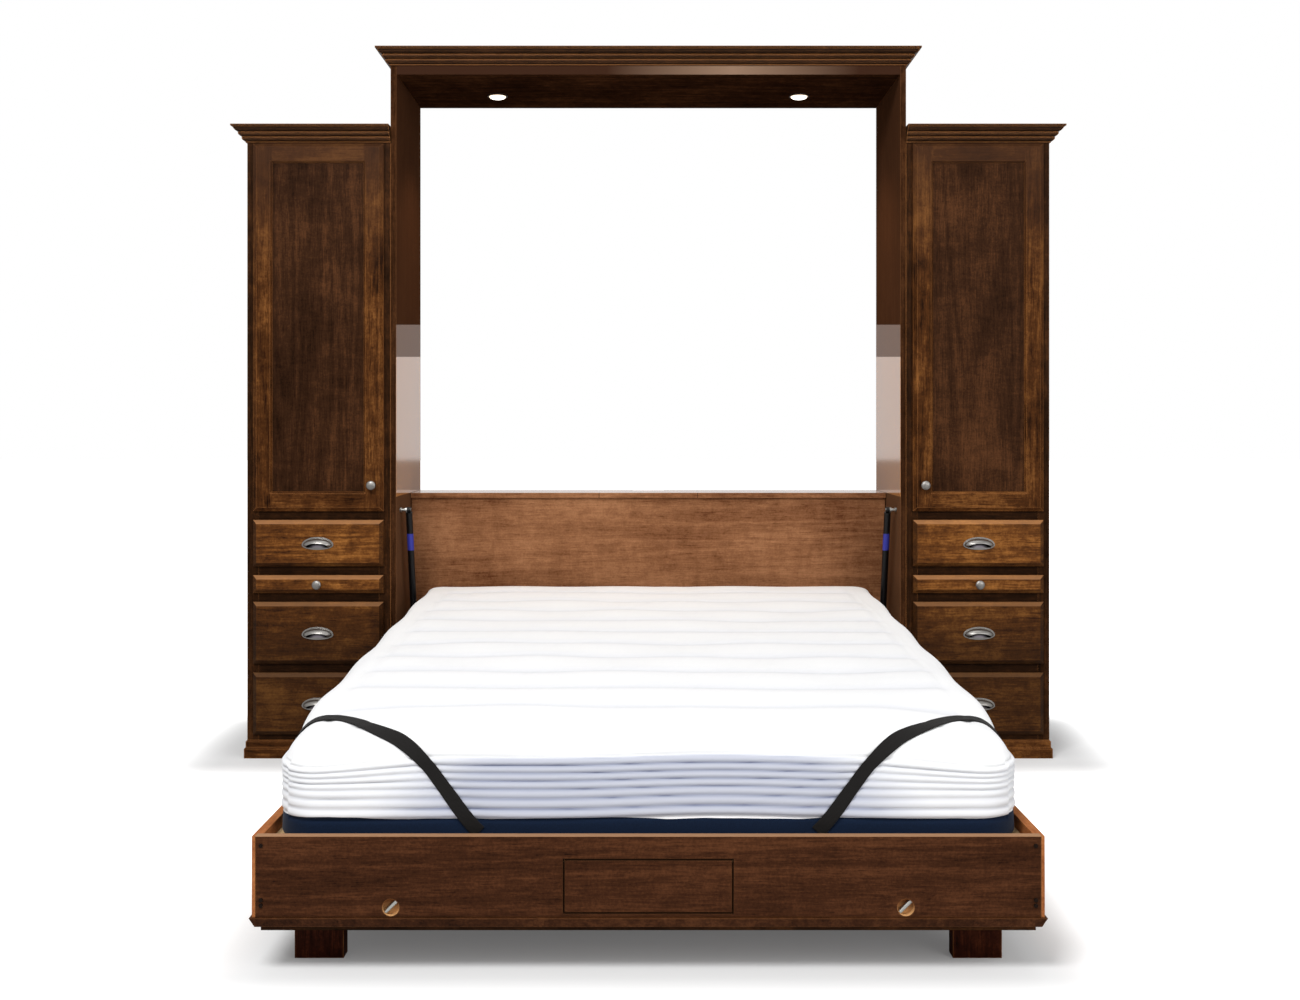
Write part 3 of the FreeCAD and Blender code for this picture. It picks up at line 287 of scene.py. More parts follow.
# Wood. Noises give scale, detail, roughness and distortion, and each share weighs one in the tone.
ALONG_GRAIN = 0.075
CURL_ACROSS = 0.30
BOARD_SHIFT = 3.7
FIBRE_NOISE, FIBRE_SHARE = (210.0, 4.0, 0.6, 0.2), 0.44
RING_NOISE, RING_TURNS, RING_SHARE = (7.0, 2.0, 0.5, 0.7), 46.0, 0.055
CLOUD_NOISE = (3.2, 2.0, 0.5, 0.3)
BLOTCH_NOISE, BLOTCH_SHARE = (26.0, 4.0, 0.65, 0.3), 0.50
SPECK_NOISE, SPECK_SHARE = (150.0, 3.0, 0.7), 0.34
PORE_NOISE, PORE_FROM, PORE_SHARE = (560.0, 2.0, 0.5), 0.66, 0.12
STREAK_NOISE, STREAK_FROM, STREAK_SHARE = (150.0, 3.0, 0.65, 0.8), 0.54, 1.1
RIPPLE_NOISE = (34.0, 4.0, 0.65, 0.9)
TONE_STOPS = (0.22, 0.5, 0.8)
PALE_WOOD_FROM = 0.15
# How far the edges round, and how strongly wear and a painted highlight pale them
EDGE_RADIUS, EDGE_WEAR_AND_HIGHLIGHT = 0.0035, 7.0
GRAIN_BUMP, GRAIN_DEPTH, PORE_DEPTH = 0.22, 0.0004, -0.6
GLOSS_DRIFT = 0.22


def wood(
        name, tones, grain, gloss=0.42, wear_and_highlight=0.45, drift=0.5, figure=1.0, curl=0.0, sheen=0.02, painter=None,
        polish=None):
    """Stained and lacquered wood.

    The grain says where the fibres run, the painter adds marks and painted light, and polish gives a
    gloss coat. Wear and highlight is how much the edges are paled, partly as wear and partly as a painted
    highlight, and drift, figure and curl are the strengths of clouds, streaks and cross ripples.
    """
    graph = Graph(name)
    x, y, z = graph.place()
    runs = grain(graph, x, y, z)
    stretched, rippled = [], []
    for value, run in zip((x, y, z), runs):
        stretched.append(value * (1.0 - (1.0 - ALONG_GRAIN) * run))
        rippled.append(value * (CURL_ACROSS + (1.0 - CURL_ACROSS) * run))
    board = runs[0] * BOARD_SHIFT if isinstance(runs[0], Wire) else 0.0
    point = graph.vector(x, y, z)
    vector = graph.vector(stretched[0] + board, stretched[1], stretched[2])
    fibre = graph.noise(vector, *FIBRE_NOISE)
    rings = graph.math("SINE", graph.noise(vector, *RING_NOISE) * RING_TURNS)
    cloud = graph.noise(graph.vector(x + board, y, z), *CLOUD_NOISE)
    blotch = graph.noise(point, *BLOTCH_NOISE)
    speck = graph.noise(point, *SPECK_NOISE)
    pores = graph.noise(vector, *PORE_NOISE).over(PORE_FROM)
    streak = (graph.noise(vector, *STREAK_NOISE) - STREAK_FROM).clamped()
    tone = (
        0.5 + (fibre - 0.5) * FIBRE_SHARE + rings * RING_SHARE + (cloud - 0.5) * drift
        + (blotch - 0.5) * (BLOTCH_SHARE * figure) + (speck - 0.5) * SPECK_SHARE - pores * PORE_SHARE
        - streak * (STREAK_SHARE * figure))
    if curl:
        ripple = graph.noise(graph.vector(*rippled), *RIPPLE_NOISE)
        tone = tone + (ripple - 0.5) * curl
    colour = graph.ramp(tone, *zip(TONE_STOPS, tones))
    edge, rounded = graph.edges(EDGE_RADIUS, EDGE_WEAR_AND_HIGHLIGHT)
    pale_wood = tones[1][0] > PALE_WOOD_FROM
    # Edges paled by wear and by a painted highlight
    colour = graph.mix(edge * wear_and_highlight, colour, tones[2] if pale_wood else WORN_AND_LIT_EDGE)
    if painter:
        colour = painter(graph, colour, x, y, z)
    coat = polish(graph, x, y, z) if polish else 0.0
    normal = graph.bump(fibre + pores * PORE_DEPTH, GRAIN_BUMP, GRAIN_DEPTH, rounded)
    return graph.finish(
        Base_Color=colour, Roughness=gloss + (fibre - 0.5) * GLOSS_DRIFT, Normal=normal,
        Specular_IOR_Level=sheen, Coat_Weight=coat, Coat_Roughness=0.08 if polish else 0.25)


# Marks and painted light on the wood. A cover is how strongly a mark hides the wood, and a fade how
# fast it comes in a metre.
# How strongly the painted highlight and the painted shade cover the bevels
HIGHLIGHT_COVER, SHADED_COVER = 0.40, 0.55
FLAT_UP = 0.9
# Where the painted shade on the lower drawer fronts starts, how fast it comes, and how strong it is
LOW_FRONTS_TOP, LOW_FADE, LOW_SHADE_COVER = 0.66, 3.4, 0.72
UPPER_FACE, TOP_GLOSS = 0.5, 0.7
LEDGE_JOINT_X, JOINT_HALF = 0.172, 0.0009
HOLE_X, HOLE_Z, HOLE_RADIUS = 0.512, 0.140, 0.0169
# Where the painted shade in a hole starts below its middle, and how fast it comes
HOLE_SHADE_FROM, HOLE_SHADE_FADE = 0.012, 45.0
INSERT_HALF_X, INSERT_LOW, INSERT_HIGH = 0.168, RAIL_LOW + 0.009, RAIL_LOW + 0.115
SEAM_BESIDE, SEAM_HALF, SEAM_COVER = 0.001, 0.0015, 0.8
# Where the painted highlight on the footboard's top edge starts, and how strongly it covers
FOOT_TOP_FROM, FOOT_HIGHLIGHT_COVER = RAIL_TOP - 0.0012, 0.8
# Where the strip's painted light starts, where its painted sheen is, and how fast that fades
STRIP_FROM, STRIP_SHEEN_X, STRIP_SHEEN_FADE = CABINET_FRONT + 0.0005, 0.28, 2.4
# Tops and slopes of the two painted reflections on the side boards, and their gloss and cover
ZONE_LOW_TOP, ZONE_HIGH_TOP = 1.324, 1.430
ZONE_LOW_SLOPE, ZONE_HIGH_SLOPE = 0.048, 0.071
ZONE_LOW_GLOSS, ZONES_GLOSS, ZONES_COVER = 0.62, 0.26, 0.9
SIDE_COVER = 0.7
# How strongly the painted shade covers the pier rails
PIER_RAIL_SHADE_COVER = 0.5
DOOR_DARK_FROM, DOOR_FADE, DOOR_DARK_COVER = 1.55, 2.6, 0.6
DOOR_RAIL_FOOT, DOOR_RAIL_COVER = 1.963, 0.7


def lit_and_shaded_bevels(graph, colour, x, y, z):
    """Painted highlight on a front's upper bevels, and painted shade on its side and lower bevels."""
    across, _, up = graph.facing()
    colour = graph.mix(up.over(TURNED) * up.under(FLAT_UP) * HIGHLIGHT_COVER, colour, BEVEL_HIGHLIGHT)
    shaded = abs(across).over(TURNED).at_least(up.under(-TURNED))
    return graph.mix(shaded * SHADED_COVER, colour, BEVEL_SHADED)


def shaded_low_fronts(graph, colour, x, y, z):
    """Painted shade on the lower drawer fronts, darker towards the bottom, over their painted bevels."""
    colour = lit_and_shaded_bevels(graph, colour, x, y, z)
    low = ((LOW_FRONTS_TOP - z) * LOW_FADE).clamped().at_most(1.0)
    return graph.mix(low * LOW_SHADE_COVER, colour, LOW_FRONT_SHADE)


def glossy_top(graph, x, y, z):
    """A gloss coat on upper faces."""
    return graph.facing()[2].over(UPPER_FACE) * TOP_GLOSS


def ledge_joints(graph, colour, x, y, z):
    """Dark joints between the three boards of the ledge."""
    joint = abs(abs(x) - LEDGE_JOINT_X).under(JOINT_HALF)
    return graph.mix(joint, colour, SEAM)


def shaded_raw_holes(graph, colour, x, y, z):
    """Raw wood on the walls of the footboard's two round holes, painted lit below and painted shaded above."""
    across = abs(x) - HOLE_X
    up = z - HOLE_Z
    ring = (across * across + up * up).under(HOLE_RADIUS ** 2)
    shade = ((up + HOLE_SHADE_FROM) * HOLE_SHADE_FADE).clamped().at_most(1.0)
    return graph.mix(ring, colour, graph.mix(shade, HOLE_RAW_LIT, HOLE_RAW_SHADED))


def seam_round(beside):
    """A dark joint beside the edges of the footboard's insert, outside them or, where negative, inside."""
    half_x = INSERT_HALF_X + beside
    low, high = INSERT_LOW - beside, INSERT_HIGH + beside

    def paint(graph, colour, x, y, z):
        away = (abs(x) - half_x).at_least(abs(z - (low + high) / 2) - (high - low) / 2)
        return graph.mix(abs(away).under(SEAM_HALF) * SEAM_COVER, colour, SEAM)
    return paint


def foot_marks(graph, colour, x, y, z):
    """The footboard's insert joint, raw holes with painted light and shade, and painted highlight on top."""
    colour = seam_round(SEAM_BESIDE)(graph, colour, x, y, z)
    colour = shaded_raw_holes(graph, colour, x, y, z)
    return graph.mix(z.over(FOOT_TOP_FROM) * FOOT_HIGHLIGHT_COVER, colour, FOOT_TOP_HIGHLIGHT)


def front_strip_sheen(graph, colour, x, y, z):
    """Painted light on the strip under the crown: browner than the soffit, a sheen right of its middle."""
    strip = y.under(STRIP_FROM)
    away = (abs(x - STRIP_SHEEN_X) * STRIP_SHEEN_FADE).at_most(1.0)
    return graph.mix(strip, colour, graph.mix(away, STRIP_SHEEN, STRIP_LIT_BROWN))


def on_inner_face(x):
    return abs(x).under(SIDE_INNER + 0.001)


def reflection_zones(x, y, z):
    """The two painted reflections on the side boards' inner faces above the ledge: the lower and both."""
    inner = on_inner_face(x) * z.over(LEDGE_TOP)
    back = y - CABINET_FRONT
    low = inner * (z - back * ZONE_LOW_SLOPE).under(ZONE_LOW_TOP)
    return low, inner * (z - back * ZONE_HIGH_SLOPE).under(ZONE_HIGH_TOP)


def reflection_zone_gloss(graph, x, y, z):
    """A gloss coat on the two painted reflections, stronger on the lower one."""
    low, both_zones = reflection_zones(x, y, z)
    return low * ZONE_LOW_GLOSS + both_zones * ZONES_GLOSS


def side_tones_and_reflections(graph, colour, x, y, z):
    """Side boards' inner faces: brown, painted light below the ledge and two painted reflections above."""
    inner = on_inner_face(x)
    low, both_zones = reflection_zones(x, y, z)
    colour = graph.mix(inner * SIDE_COVER, colour, SIDE_PLAIN)
    colour = graph.mix(inner * z.under(LEDGE_TOP) * SIDE_COVER, colour, SIDE_LIT_BELOW_LEDGE)
    colour = graph.mix(both_zones * ZONES_COVER, colour, REFLECTION_BROWN)
    return graph.mix(low, colour, REFLECTION_TAN)


def shaded_pier_rails(graph, colour, x, y, z):
    """Painted shade on the rails of a pier's face frame, which makes them darker than its stiles."""
    rail = abs(abs(x) - PIER_MIDDLE).under(PIER_STILE)
    return graph.mix(rail * PIER_RAIL_SHADE_COVER, colour, PIER_RAIL_SHADE)


def dark_top_rail(graph, colour, x, y, z):
    """The upper rail and the upper ends of a door's stiles are as dark as its panel."""
    high = ((z - DOOR_DARK_FROM).clamped() * DOOR_FADE).at_most(1.0)
    rail = z.over(DOOR_RAIL_FOOT)
    return graph.mix((high * DOOR_DARK_COVER).at_least(rail * DOOR_RAIL_COVER), colour, DOOR_RAIL)


# Metal, glass and fabric. Each noise gives scale, detail and roughness, and each weave scale and distortion.
TARNISH_NOISE, TARNISH_FROM, TARNISH_GLOSS = (60.0, 4.0, 0.6), 0.25, 0.12
BRUSH_NOISE, BRUSH_RUN, BRUSH_BUMP, BRUSH_DEPTH = (900.0, 2.0, 0.5), 0.08, 0.12, 0.0002
# How far metal edges round, and how strongly wear and a painted highlight pale them
METAL_EDGE, METAL_WEAR_AND_HIGHLIGHT = 0.0012, 6.0
DUST_NOISE, DUST_COVER, DUST_GLOSS = (120.0, 3.0, 0.6), 0.35, 0.15
FROST_NOISE, FROST_GLOW = (400.0, 2.0, 0.5), 0.3
RIM_GLOW, MIDDLE_GLOW = 2.2, 3.0
KNIT_WAVES, CROSS_WAVES = (210.0, 1.5), (260.0, 2.0)
SOFT_NOISE, HEATHER_NOISE, HEATHER_RUN = (9.0, 4.0, 0.6), (700.0, 3.0, 0.7), 0.4
BORDER_NOISE, BORDER_SWAY = (5.0, 2.0, 0.5), 0.016
RIB_TURNS, THREAD_TURNS = 1600.0, 2100.0
PULL_HALF_WIDTH, PULL_HEIGHT, PULL_FOOT = 0.038, 0.0155, 0.007
BAND_LOW, BAND_HIGH = 0.676, 0.733
LENS_RADIUS = 0.028
SCREWS_FROM_X, SCREWS_TO_Y = 0.755, WALL_Y - 2.3


def scaled(colour, gain, lift=0.0):
    """The colour made darker or paler."""
    return tuple(min(1.0, part * gain + lift) for part in colour[:3]) + (1.0,)


def metal(name, colour, roughness, streak=0.0, metallic=1.0, wear_and_highlight=0.0, painter=None):
    """Metal with clouds in its tone, streaks in its gloss, and edges paled by wear and a painted highlight."""
    graph = Graph(name)
    x, y, z = graph.place()
    cloud = graph.noise(graph.vector(x, y, z), *TARNISH_NOISE)
    fine = graph.noise(graph.vector(x, y, z * BRUSH_RUN), *BRUSH_NOISE)
    edge, rounded = graph.edges(METAL_EDGE, METAL_WEAR_AND_HIGHLIGHT)
    tone = graph.mix((cloud - TARNISH_FROM).clamped(), colour, scaled(colour, 0.62))
    # Metal edges paled by wear and by a painted highlight
    tone = graph.mix(edge * wear_and_highlight, tone, scaled(colour, 1.5, 0.05))
    if painter:
        tone = painter(graph, tone, x, y, z)
    return graph.finish(
        Base_Color=tone, Metallic=metallic,
        Roughness=roughness + (fine - 0.5) * streak + (cloud - 0.5) * TARNISH_GLOSS,
        Normal=graph.bump(fine, BRUSH_BUMP, BRUSH_DEPTH, rounded))


def dark_screws(graph, tone, x, y, z):
    """The screw heads at the ends of the footboard are dark."""
    return graph.mix(abs(x).over(SCREWS_FROM_X) * y.under(SCREWS_TO_Y), tone, SCREW)


def shaded_recess(pull):
    """Painted shade inside a cup pull, darkest at the arch close under its hood."""
    low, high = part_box(pull)
    middle, foot = (low.x + high.x) / 2, low.z + PULL_FOOT

    def paint(graph, tone, x, y, z):
        across = (x - middle) * (1 / PULL_HALF_WIDTH)
        up = (z - foot) * (1 / PULL_HEIGHT)
        away = across * across + up * up
        shade = graph.ramp(away, *zip((0.10, 0.30, 0.55), RECESS_SHADE))
        return graph.mix(away.under(1.0) * up.over(0.0), tone, shade)
    return paint


def banded_tube(name):
    """Black gloss paint with a plain blue band round the tube."""
    graph = Graph(name)
    x, y, z = graph.place()
    band = z.over(BAND_LOW) * z.under(BAND_HIGH)
    dust = graph.noise(graph.vector(x, y, z), *DUST_NOISE)
    paint = graph.mix(dust * DUST_COVER, srgb(8, 8, 9), srgb(20, 20, 22))
    return graph.finish(
        Base_Color=graph.mix(band, paint, BLUE_BAND), Roughness=0.3 + dust * DUST_GLOSS,
        Specular_IOR_Level=0.2, Coat_Weight=0.1)


def lit_lens(name):
    """A frosted lens, lit from behind, brighter in the middle."""
    graph = Graph(name)
    x, y, z = graph.place()
    across = abs(x) - PUCK_X
    out = y - PUCK_Y
    middle = 1.0 - (across * across + out * out) * (1 / LENS_RADIUS ** 2)
    frost = graph.noise(graph.vector(x, y, z), *FROST_NOISE)
    return graph.finish(
        Base_Color=srgb(255, 244, 220), Roughness=0.35,
        Emission_Color=graph.ramp(middle, (0.0, LENS_RIM), (0.5, LENS_MIDDLE)),
        Emission_Strength=RIM_GLOW + middle * MIDDLE_GLOW + frost * FROST_GLOW)


def fabric(name):
    """White knit cover, pale blue-grey channels, painted shade in the belt's furrows, navy border low down."""
    graph = Graph(name)
    x, y, z = graph.place()
    tint_and_shade = graph.attribute("tint_and_shade")
    point = graph.vector(x, y, z)
    weave = (graph.waves(point, "DIAGONAL", *KNIT_WAVES) + graph.waves(point, "Z", *CROSS_WAVES)) * 0.5
    soft = graph.noise(point, *SOFT_NOISE)
    white = graph.mix(soft * 0.5, srgb(238, 238, 238), srgb(228, 229, 232))
    cover = graph.mix(tint_and_shade.clamped(), white, CHANNEL_BLUE)
    heather = graph.noise(graph.vector(x, y, z * HEATHER_RUN), *HEATHER_NOISE)
    navy = graph.mix(heather, srgb(5, 12, 26), srgb(18, 36, 62))
    ripple = graph.noise(graph.vector(x, y, 0.0), *BORDER_NOISE)
    border = (z - (ripple - 0.5) * BORDER_SWAY).under(BORDER_TOP)
    return graph.finish(
        Base_Color=graph.mix(border, cover, navy), Roughness=0.9, Sheen_Weight=0.08, Sheen_Roughness=0.5,
        Specular_IOR_Level=0.1, Normal=graph.bump(weave + soft, 0.25, 0.0008))


def webbing(name):
    """Black woven webbing with ribs along its length and small cross threads."""
    graph = Graph(name)
    width_way = graph.attribute("across")
    length_way = graph.attribute("along")
    ribs = graph.math("SINE", width_way * RIB_TURNS)
    threads = graph.math("SINE", length_way * THREAD_TURNS)
    weave = ribs * threads
    tone = graph.mix((weave * 0.5 + 0.5).clamped(), srgb(10, 9, 9), srgb(36, 34, 33))
    return graph.finish(
        Base_Color=tone, Roughness=0.8, Sheen_Weight=0.05, Specular_IOR_Level=0.1,
        Normal=graph.bump(weave, 0.5, 0.0005))


# Which node wears what
def dress(material, *names):
    for name in names:
        mesh = NODES[name].data
        mesh.materials.clear()
        mesh.materials.append(material)


def both(*stems):
    """The names of the left and the right node of each stem."""
    return [f"{stem}_{side}" for side in SIDES for stem in stems]


def of_drawers(part):
    return both(*(f"{drawer}_drawer_{part}" for drawer in DRAWERS))


def dress_wood():
    foot = dict(drift=0.3, figure=0.35, curl=0.12)
    x_way, y_way, z_way = (along(axis) for axis in range(3))
    rows = (
        ("side_wood", DARK, z_way, dict(figure=0.5, sheen=0.0, painter=side_tones_and_reflections, polish=reflection_zone_gloss),
         both("cabinet_side")),
        ("soffit_wood", DEEP, x_way, dict(gloss=0.6, sheen=0.0, painter=front_strip_sheen), ["cabinet_top"]),
        ("moulding_wood", MOULDED, around_case, dict(wear_and_highlight=0.8, sheen=0.06), ["cabinet_crown", "pier_crowns"]),
        ("base_wood", GOLDEN, around_case, dict(wear_and_highlight=0.6), ["pier_bases"]),
        ("case_wood", FRAME, z_way, {}, both("pier_carcass")),
        ("stile_wood", FRAME, up_stiles(PIER_STILE), dict(painter=shaded_pier_rails), ["pier_face_frames"]),
        ("ledge_wood", WARM, x_way, dict(painter=ledge_joints, polish=glossy_top), ["headboard_ledge"]),
        ("headboard_wood", WARM, x_way, dict(drift=0.55, figure=0.7, curl=0.16), ["headboard_panel"]),
        ("rail_wood", EDGE, y_way, {}, ["bed_rails"]),
        ("foot_wood", BROWN, x_way, dict(foot, painter=foot_marks), ["footboard"]),
        ("insert_wood", BROWN, x_way, dict(foot, painter=seam_round(-SEAM_BESIDE)),
         ["footboard_insert", "bed_head_rail"]),
        ("lip_wood", BROWN, y_way, dict(figure=0.5, wear_and_highlight=0.2), ["face_panel"]),
        ("face_frame_wood", FRAME, in_face_frame, dict(wear_and_highlight=0.0), ["face_frame"]),
        ("leg_wood", LEG, z_way, dict(wear_and_highlight=0.5), both("leg")),
        ("board_wood", PLAIN, x_way, dict(gloss=0.55, wear_and_highlight=0.1, drift=0.3),
         ["deck_panel", "deck_supports", "wall_cleats"]),
        ("front_wood", HONEY, x_way, dict(wear_and_highlight=0.2, drift=0.6, sheen=0.06, painter=shaded_low_fronts),
         of_drawers("front")),
        ("tray_wood", HONEY, x_way, dict(wear_and_highlight=0.2, drift=0.4, sheen=0.06, painter=lit_and_shaded_bevels), both("tray")),
        ("box_wood", PLAIN, y_way, dict(gloss=0.5, wear_and_highlight=0.1, drift=0.3), of_drawers("box")),
        ("door_wood", GOLDEN, up_stiles(DOOR_STILE), dict(wear_and_highlight=0.6, drift=0.9, painter=dark_top_rail),
         both("door_frame")),
        ("panel_wood", DARK, z_way, dict(drift=0.5, figure=0.4, curl=0.28), both("door_panel")),
    )
    for name, tones, grain, options, nodes in rows:
        dress(wood(name, tones, grain, **options), *nodes)


def dress_metal():
    dress(metal("pewter", PEWTER, 0.40, 0.10, wear_and_highlight=0.5), *both("tray_knob", "door_knob"))
    for pull in of_drawers("pull"):
        dress(metal(f"{pull}_pewter", PEWTER, 0.36, 0.10, wear_and_highlight=0.5, painter=shaded_recess(pull)), pull)
    dress(banded_tube("strut_paint"), *both("strut_tube"))
    dress(metal("dark_chrome", srgb(48, 48, 50), 0.2), *both("strut_rod"))
    dress(metal("zinc", ZINC, 0.3, 0.2, wear_and_highlight=0.4, painter=dark_screws), "bed_hardware")
    dress(metal("steel", ZINC, 0.3, 0.2, wear_and_highlight=0.4), "cabinet_pins")
    dress(metal("bronze_paint", srgb(52, 32, 22), 0.5, 0.1, metallic=0.2), "puck_light_housings")
    dress(lit_lens("lens"), "puck_light_lenses")


# Mattress form: its rolled edges, its round corners, and how far it rises or falls
HEAD_ROLL, FOOT_ROLL, LOW_ROLL = 0.030, 0.080, 0.018
CORNER, HEAD_CORNER = 0.090, 0.060
HEAD_LIFT, FOOT_FALL, CORNER_FALL = 0.030, 0.024, 0.024
CORNER_NEAR, CORNER_FAR = 0.05, 0.34
SETTLED_FROM, SETTLED_TO = 0.34, 0.48

# Mattress cover: heights from the floor, then depths and half widths of its ribs and channels. Each
# facing is the range over which a normal turns into that part of the cover. Each tint or shade is the share
# all round and what the middle of the foot adds; the furrow shade is painted shade in the furrows between
# the belt's ribs. Belt waves give size, turns and start, and puff waves give turns and start along X and
# along Y. Turns are radians in a metre.
BORDER_TOP, RIB_TOP = 0.306, 0.453
RIB_PITCH, RIB_RISE, RIB_SINK, RIB_FADE = 0.021, 0.0062, 0.002, 0.004
WAIST = 0.004
BELT_WAVES = ((0.004, 5.2, 0.8), (0.002, 11.0, 0.0))
BELT_TINT, FURROW_SHADE = (0.10, 0.45), (0.20, 0.35)
BELT_FADE, BELT_SLANT = (0.40, 0.62), 0.8
BORDER_GROOVE, RIB_GROOVE, GROOVE_DEPTH = 0.0035, 0.003, 0.004
FIELD = (0.06, 0.11)
CHANNEL_PITCH, CHANNEL_HALF, CHANNEL_CROWN, CHANNEL_DEPTH = 0.185, 0.012, 0.006, 0.003
CHANNEL_TINT, CHANNEL_TINT_HALF = 0.20, 0.030
CHANNEL_SWAY, CHANNEL_SWAY_TURNS = 0.05, 4.0
PIPING_INSET, PIPING_HALF, PIPING_DEPTH = 0.085, 0.008, 0.003
PUFF, PUFF_WAVES = 0.0022, ((9.0, 1.3, 7.0, 0.0), (17.0, 0.0, 13.0, 0.7))
PUCKER, PUCKER_TURNS, PUCKER_START = 0.0030, 14.0, 0.6
UNDERSIDE_FADE = 0.02
PRESS_DEPTH, PRESS_HALF, PRESS_REACH = 0.006, 0.034, 0.12
SIDE_FACING, TOP_FACING, ROLL_FACING, FOOT_FACING = (0.35, 0.9), (0.80, 0.99), (0.15, 0.5), (0.5, 0.9)
MESH_FINE, MESH_MARGIN, MESH_X, MESH_Y, MESH_ROWS = 0.0055, 0.08, 0.011, 0.014, 68


def smooth(low, high, value):
    share = np.clip((value - low) / (high - low), 0, 1)
    return share * share * (3 - 2 * share)


def groove(value, width):
    return np.exp(-(value / width) ** 2)


def toward_head(points):
    """0 at the foot of the mattress and 1 at its head."""
    return np.clip((points[:, 1] - MATTRESS_LOW.y) / (MATTRESS_HIGH.y - MATTRESS_LOW.y), 0, 1)


def round_box(points):
    """Signed distance of points to the mattress's plain form, with round corners and rolled edges."""
    centre = np.array([(a + b) / 2 for a, b in zip(MATTRESS_LOW, MATTRESS_HIGH)])
    half = np.array([(b - a) / 2 for a, b in zip(MATTRESS_LOW, MATTRESS_HIGH)])
    away = np.abs(points - centre)
    run = toward_head(points)
    corner = np.where(points[:, 1] > centre[1], HEAD_CORNER, CORNER)
    flat = away[:, :2] - (half[:2] - corner[:, None])
    plan = np.linalg.norm(np.maximum(flat, 0), axis=1) + np.minimum(flat.max(axis=1), 0) - corner
    roll = np.where(points[:, 2] > centre[2], HEAD_ROLL * run + FOOT_ROLL * (1 - run), LOW_ROLL)
    pair = np.stack([plan + roll, away[:, 2] - (half[2] - roll)], axis=1)
    return np.minimum(pair.max(axis=1), 0) + np.linalg.norm(np.maximum(pair, 0), axis=1) - roll


def outward(points):
    """The way the plain form faces at points on or near it."""
    step = 1e-4
    slopes = []
    for axis in range(3):
        shift = np.zeros(3)
        shift[axis] = step
        slopes.append(round_box(points + shift) - round_box(points - shift))
    normal = np.stack(slopes, axis=1)
    return normal / np.maximum(np.linalg.norm(normal, axis=1, keepdims=True), 1e-9)


def onto_form(points):
    for _ in range(3):
        points = points - outward(points) * round_box(points)[:, None]
    return points


def settled(points):
    """The points moved up or down: the cover is full at its head, and pulled low at its foot and corners."""
    x, y, z = points.T
    run = toward_head(points)
    to_corner = np.hypot(MATTRESS_HIGH.x - np.abs(x), y - MATTRESS_LOW.y)
    near_corner = 1 - smooth(CORNER_NEAR, CORNER_FAR, to_corner)
    rise = HEAD_LIFT * run - FOOT_FALL * (1 - run) - CORNER_FALL * near_corner
    return points + np.outer(smooth(SETTLED_FROM, SETTLED_TO, z) * rise, (0, 0, 1))


def side_padding(points, normal, side, edge_way):
    """The sides: drawn in at half height, a ribbed belt over the border, and painted shade in its furrows."""
    z = points[:, 2]
    sway = sum(size * np.sin(edge_way * turns + start) for size, turns, start in BELT_WAVES)
    share = (z - MATTRESS_LOW.z) / (MATTRESS_HIGH.z - MATTRESS_LOW.z)
    out = -WAIST * side * np.sin(np.clip(share, 0, 1) * math.pi)
    height = z - sway
    over_border = smooth(BORDER_TOP - 0.002, BORDER_TOP + RIB_FADE, height)
    ribbed = over_border * (1 - smooth(RIB_TOP - RIB_FADE, RIB_TOP, height))
    rib = np.sqrt(np.abs(np.sin((height - BORDER_TOP) / RIB_PITCH * math.pi)))
    out += side * ribbed * (RIB_RISE * rib - RIB_SINK)
    outer_share = smooth(*BELT_FADE, np.abs(points[:, 0]) + (z - BORDER_TOP) * BELT_SLANT)
    foot_middle = smooth(*FOOT_FACING, -normal[:, 1]) * (1 - outer_share)
    # Painted shade in the furrows between the ribs, more in the middle of the foot
    belt, furrow_shade = (around + more * foot_middle for around, more in (BELT_TINT, FURROW_SHADE))
    tint_and_shade = side * ribbed * (belt + furrow_shade * (1 - rib))
    grooves = groove(height - BORDER_TOP, BORDER_GROOVE) + groove(height - RIB_TOP, RIB_GROOVE)
    out -= side * GROOVE_DEPTH * grooves
    return out, tint_and_shade


def padding(points, normal):
    """How far the cover stands out from the plain form, and how much it is tinted or shaded there."""
    x, y, _ = points.T
    side = 1 - smooth(*SIDE_FACING, np.abs(normal[:, 2]))
    top = smooth(*TOP_FACING, normal[:, 2])
    edge_way = np.where(np.abs(normal[:, 0]) > np.abs(normal[:, 1]), y, x)
    out, tint_and_shade = side_padding(points, normal, side, edge_way)

    inset_x = MATTRESS_HIGH.x - np.abs(x)
    inset_y = np.minimum(y - MATTRESS_LOW.y, MATTRESS_HIGH.y - y)
    inset = np.minimum(inset_x, inset_y)
    field = smooth(*FIELD, inset) * top
    phase = (y - MATTRESS_LOW.y) / CHANNEL_PITCH + CHANNEL_SWAY * np.sin(x * CHANNEL_SWAY_TURNS)
    apart = (phase - np.round(phase)) * CHANNEL_PITCH
    crown = CHANNEL_CROWN * np.abs(np.sin(phase * math.pi)) ** 0.5
    out += field * (crown - groove(apart, CHANNEL_HALF) * CHANNEL_DEPTH)
    out -= groove(inset - PIPING_INSET, PIPING_HALF) * top * PIPING_DEPTH
    tint_and_shade += field * groove(apart, CHANNEL_TINT_HALF) * CHANNEL_TINT
    puff = sum(
        np.sin(x * turns_x + start_x) * np.sin(y * turns_y + start_y)
        for turns_x, start_x, turns_y, start_y in PUFF_WAVES)
    rolled = smooth(*ROLL_FACING, normal[:, 2]) * (1 - top)
    out += PUFF * top * puff + PUCKER * rolled * np.sin(edge_way * PUCKER_TURNS + PUCKER_START)
    return out, tint_and_shade


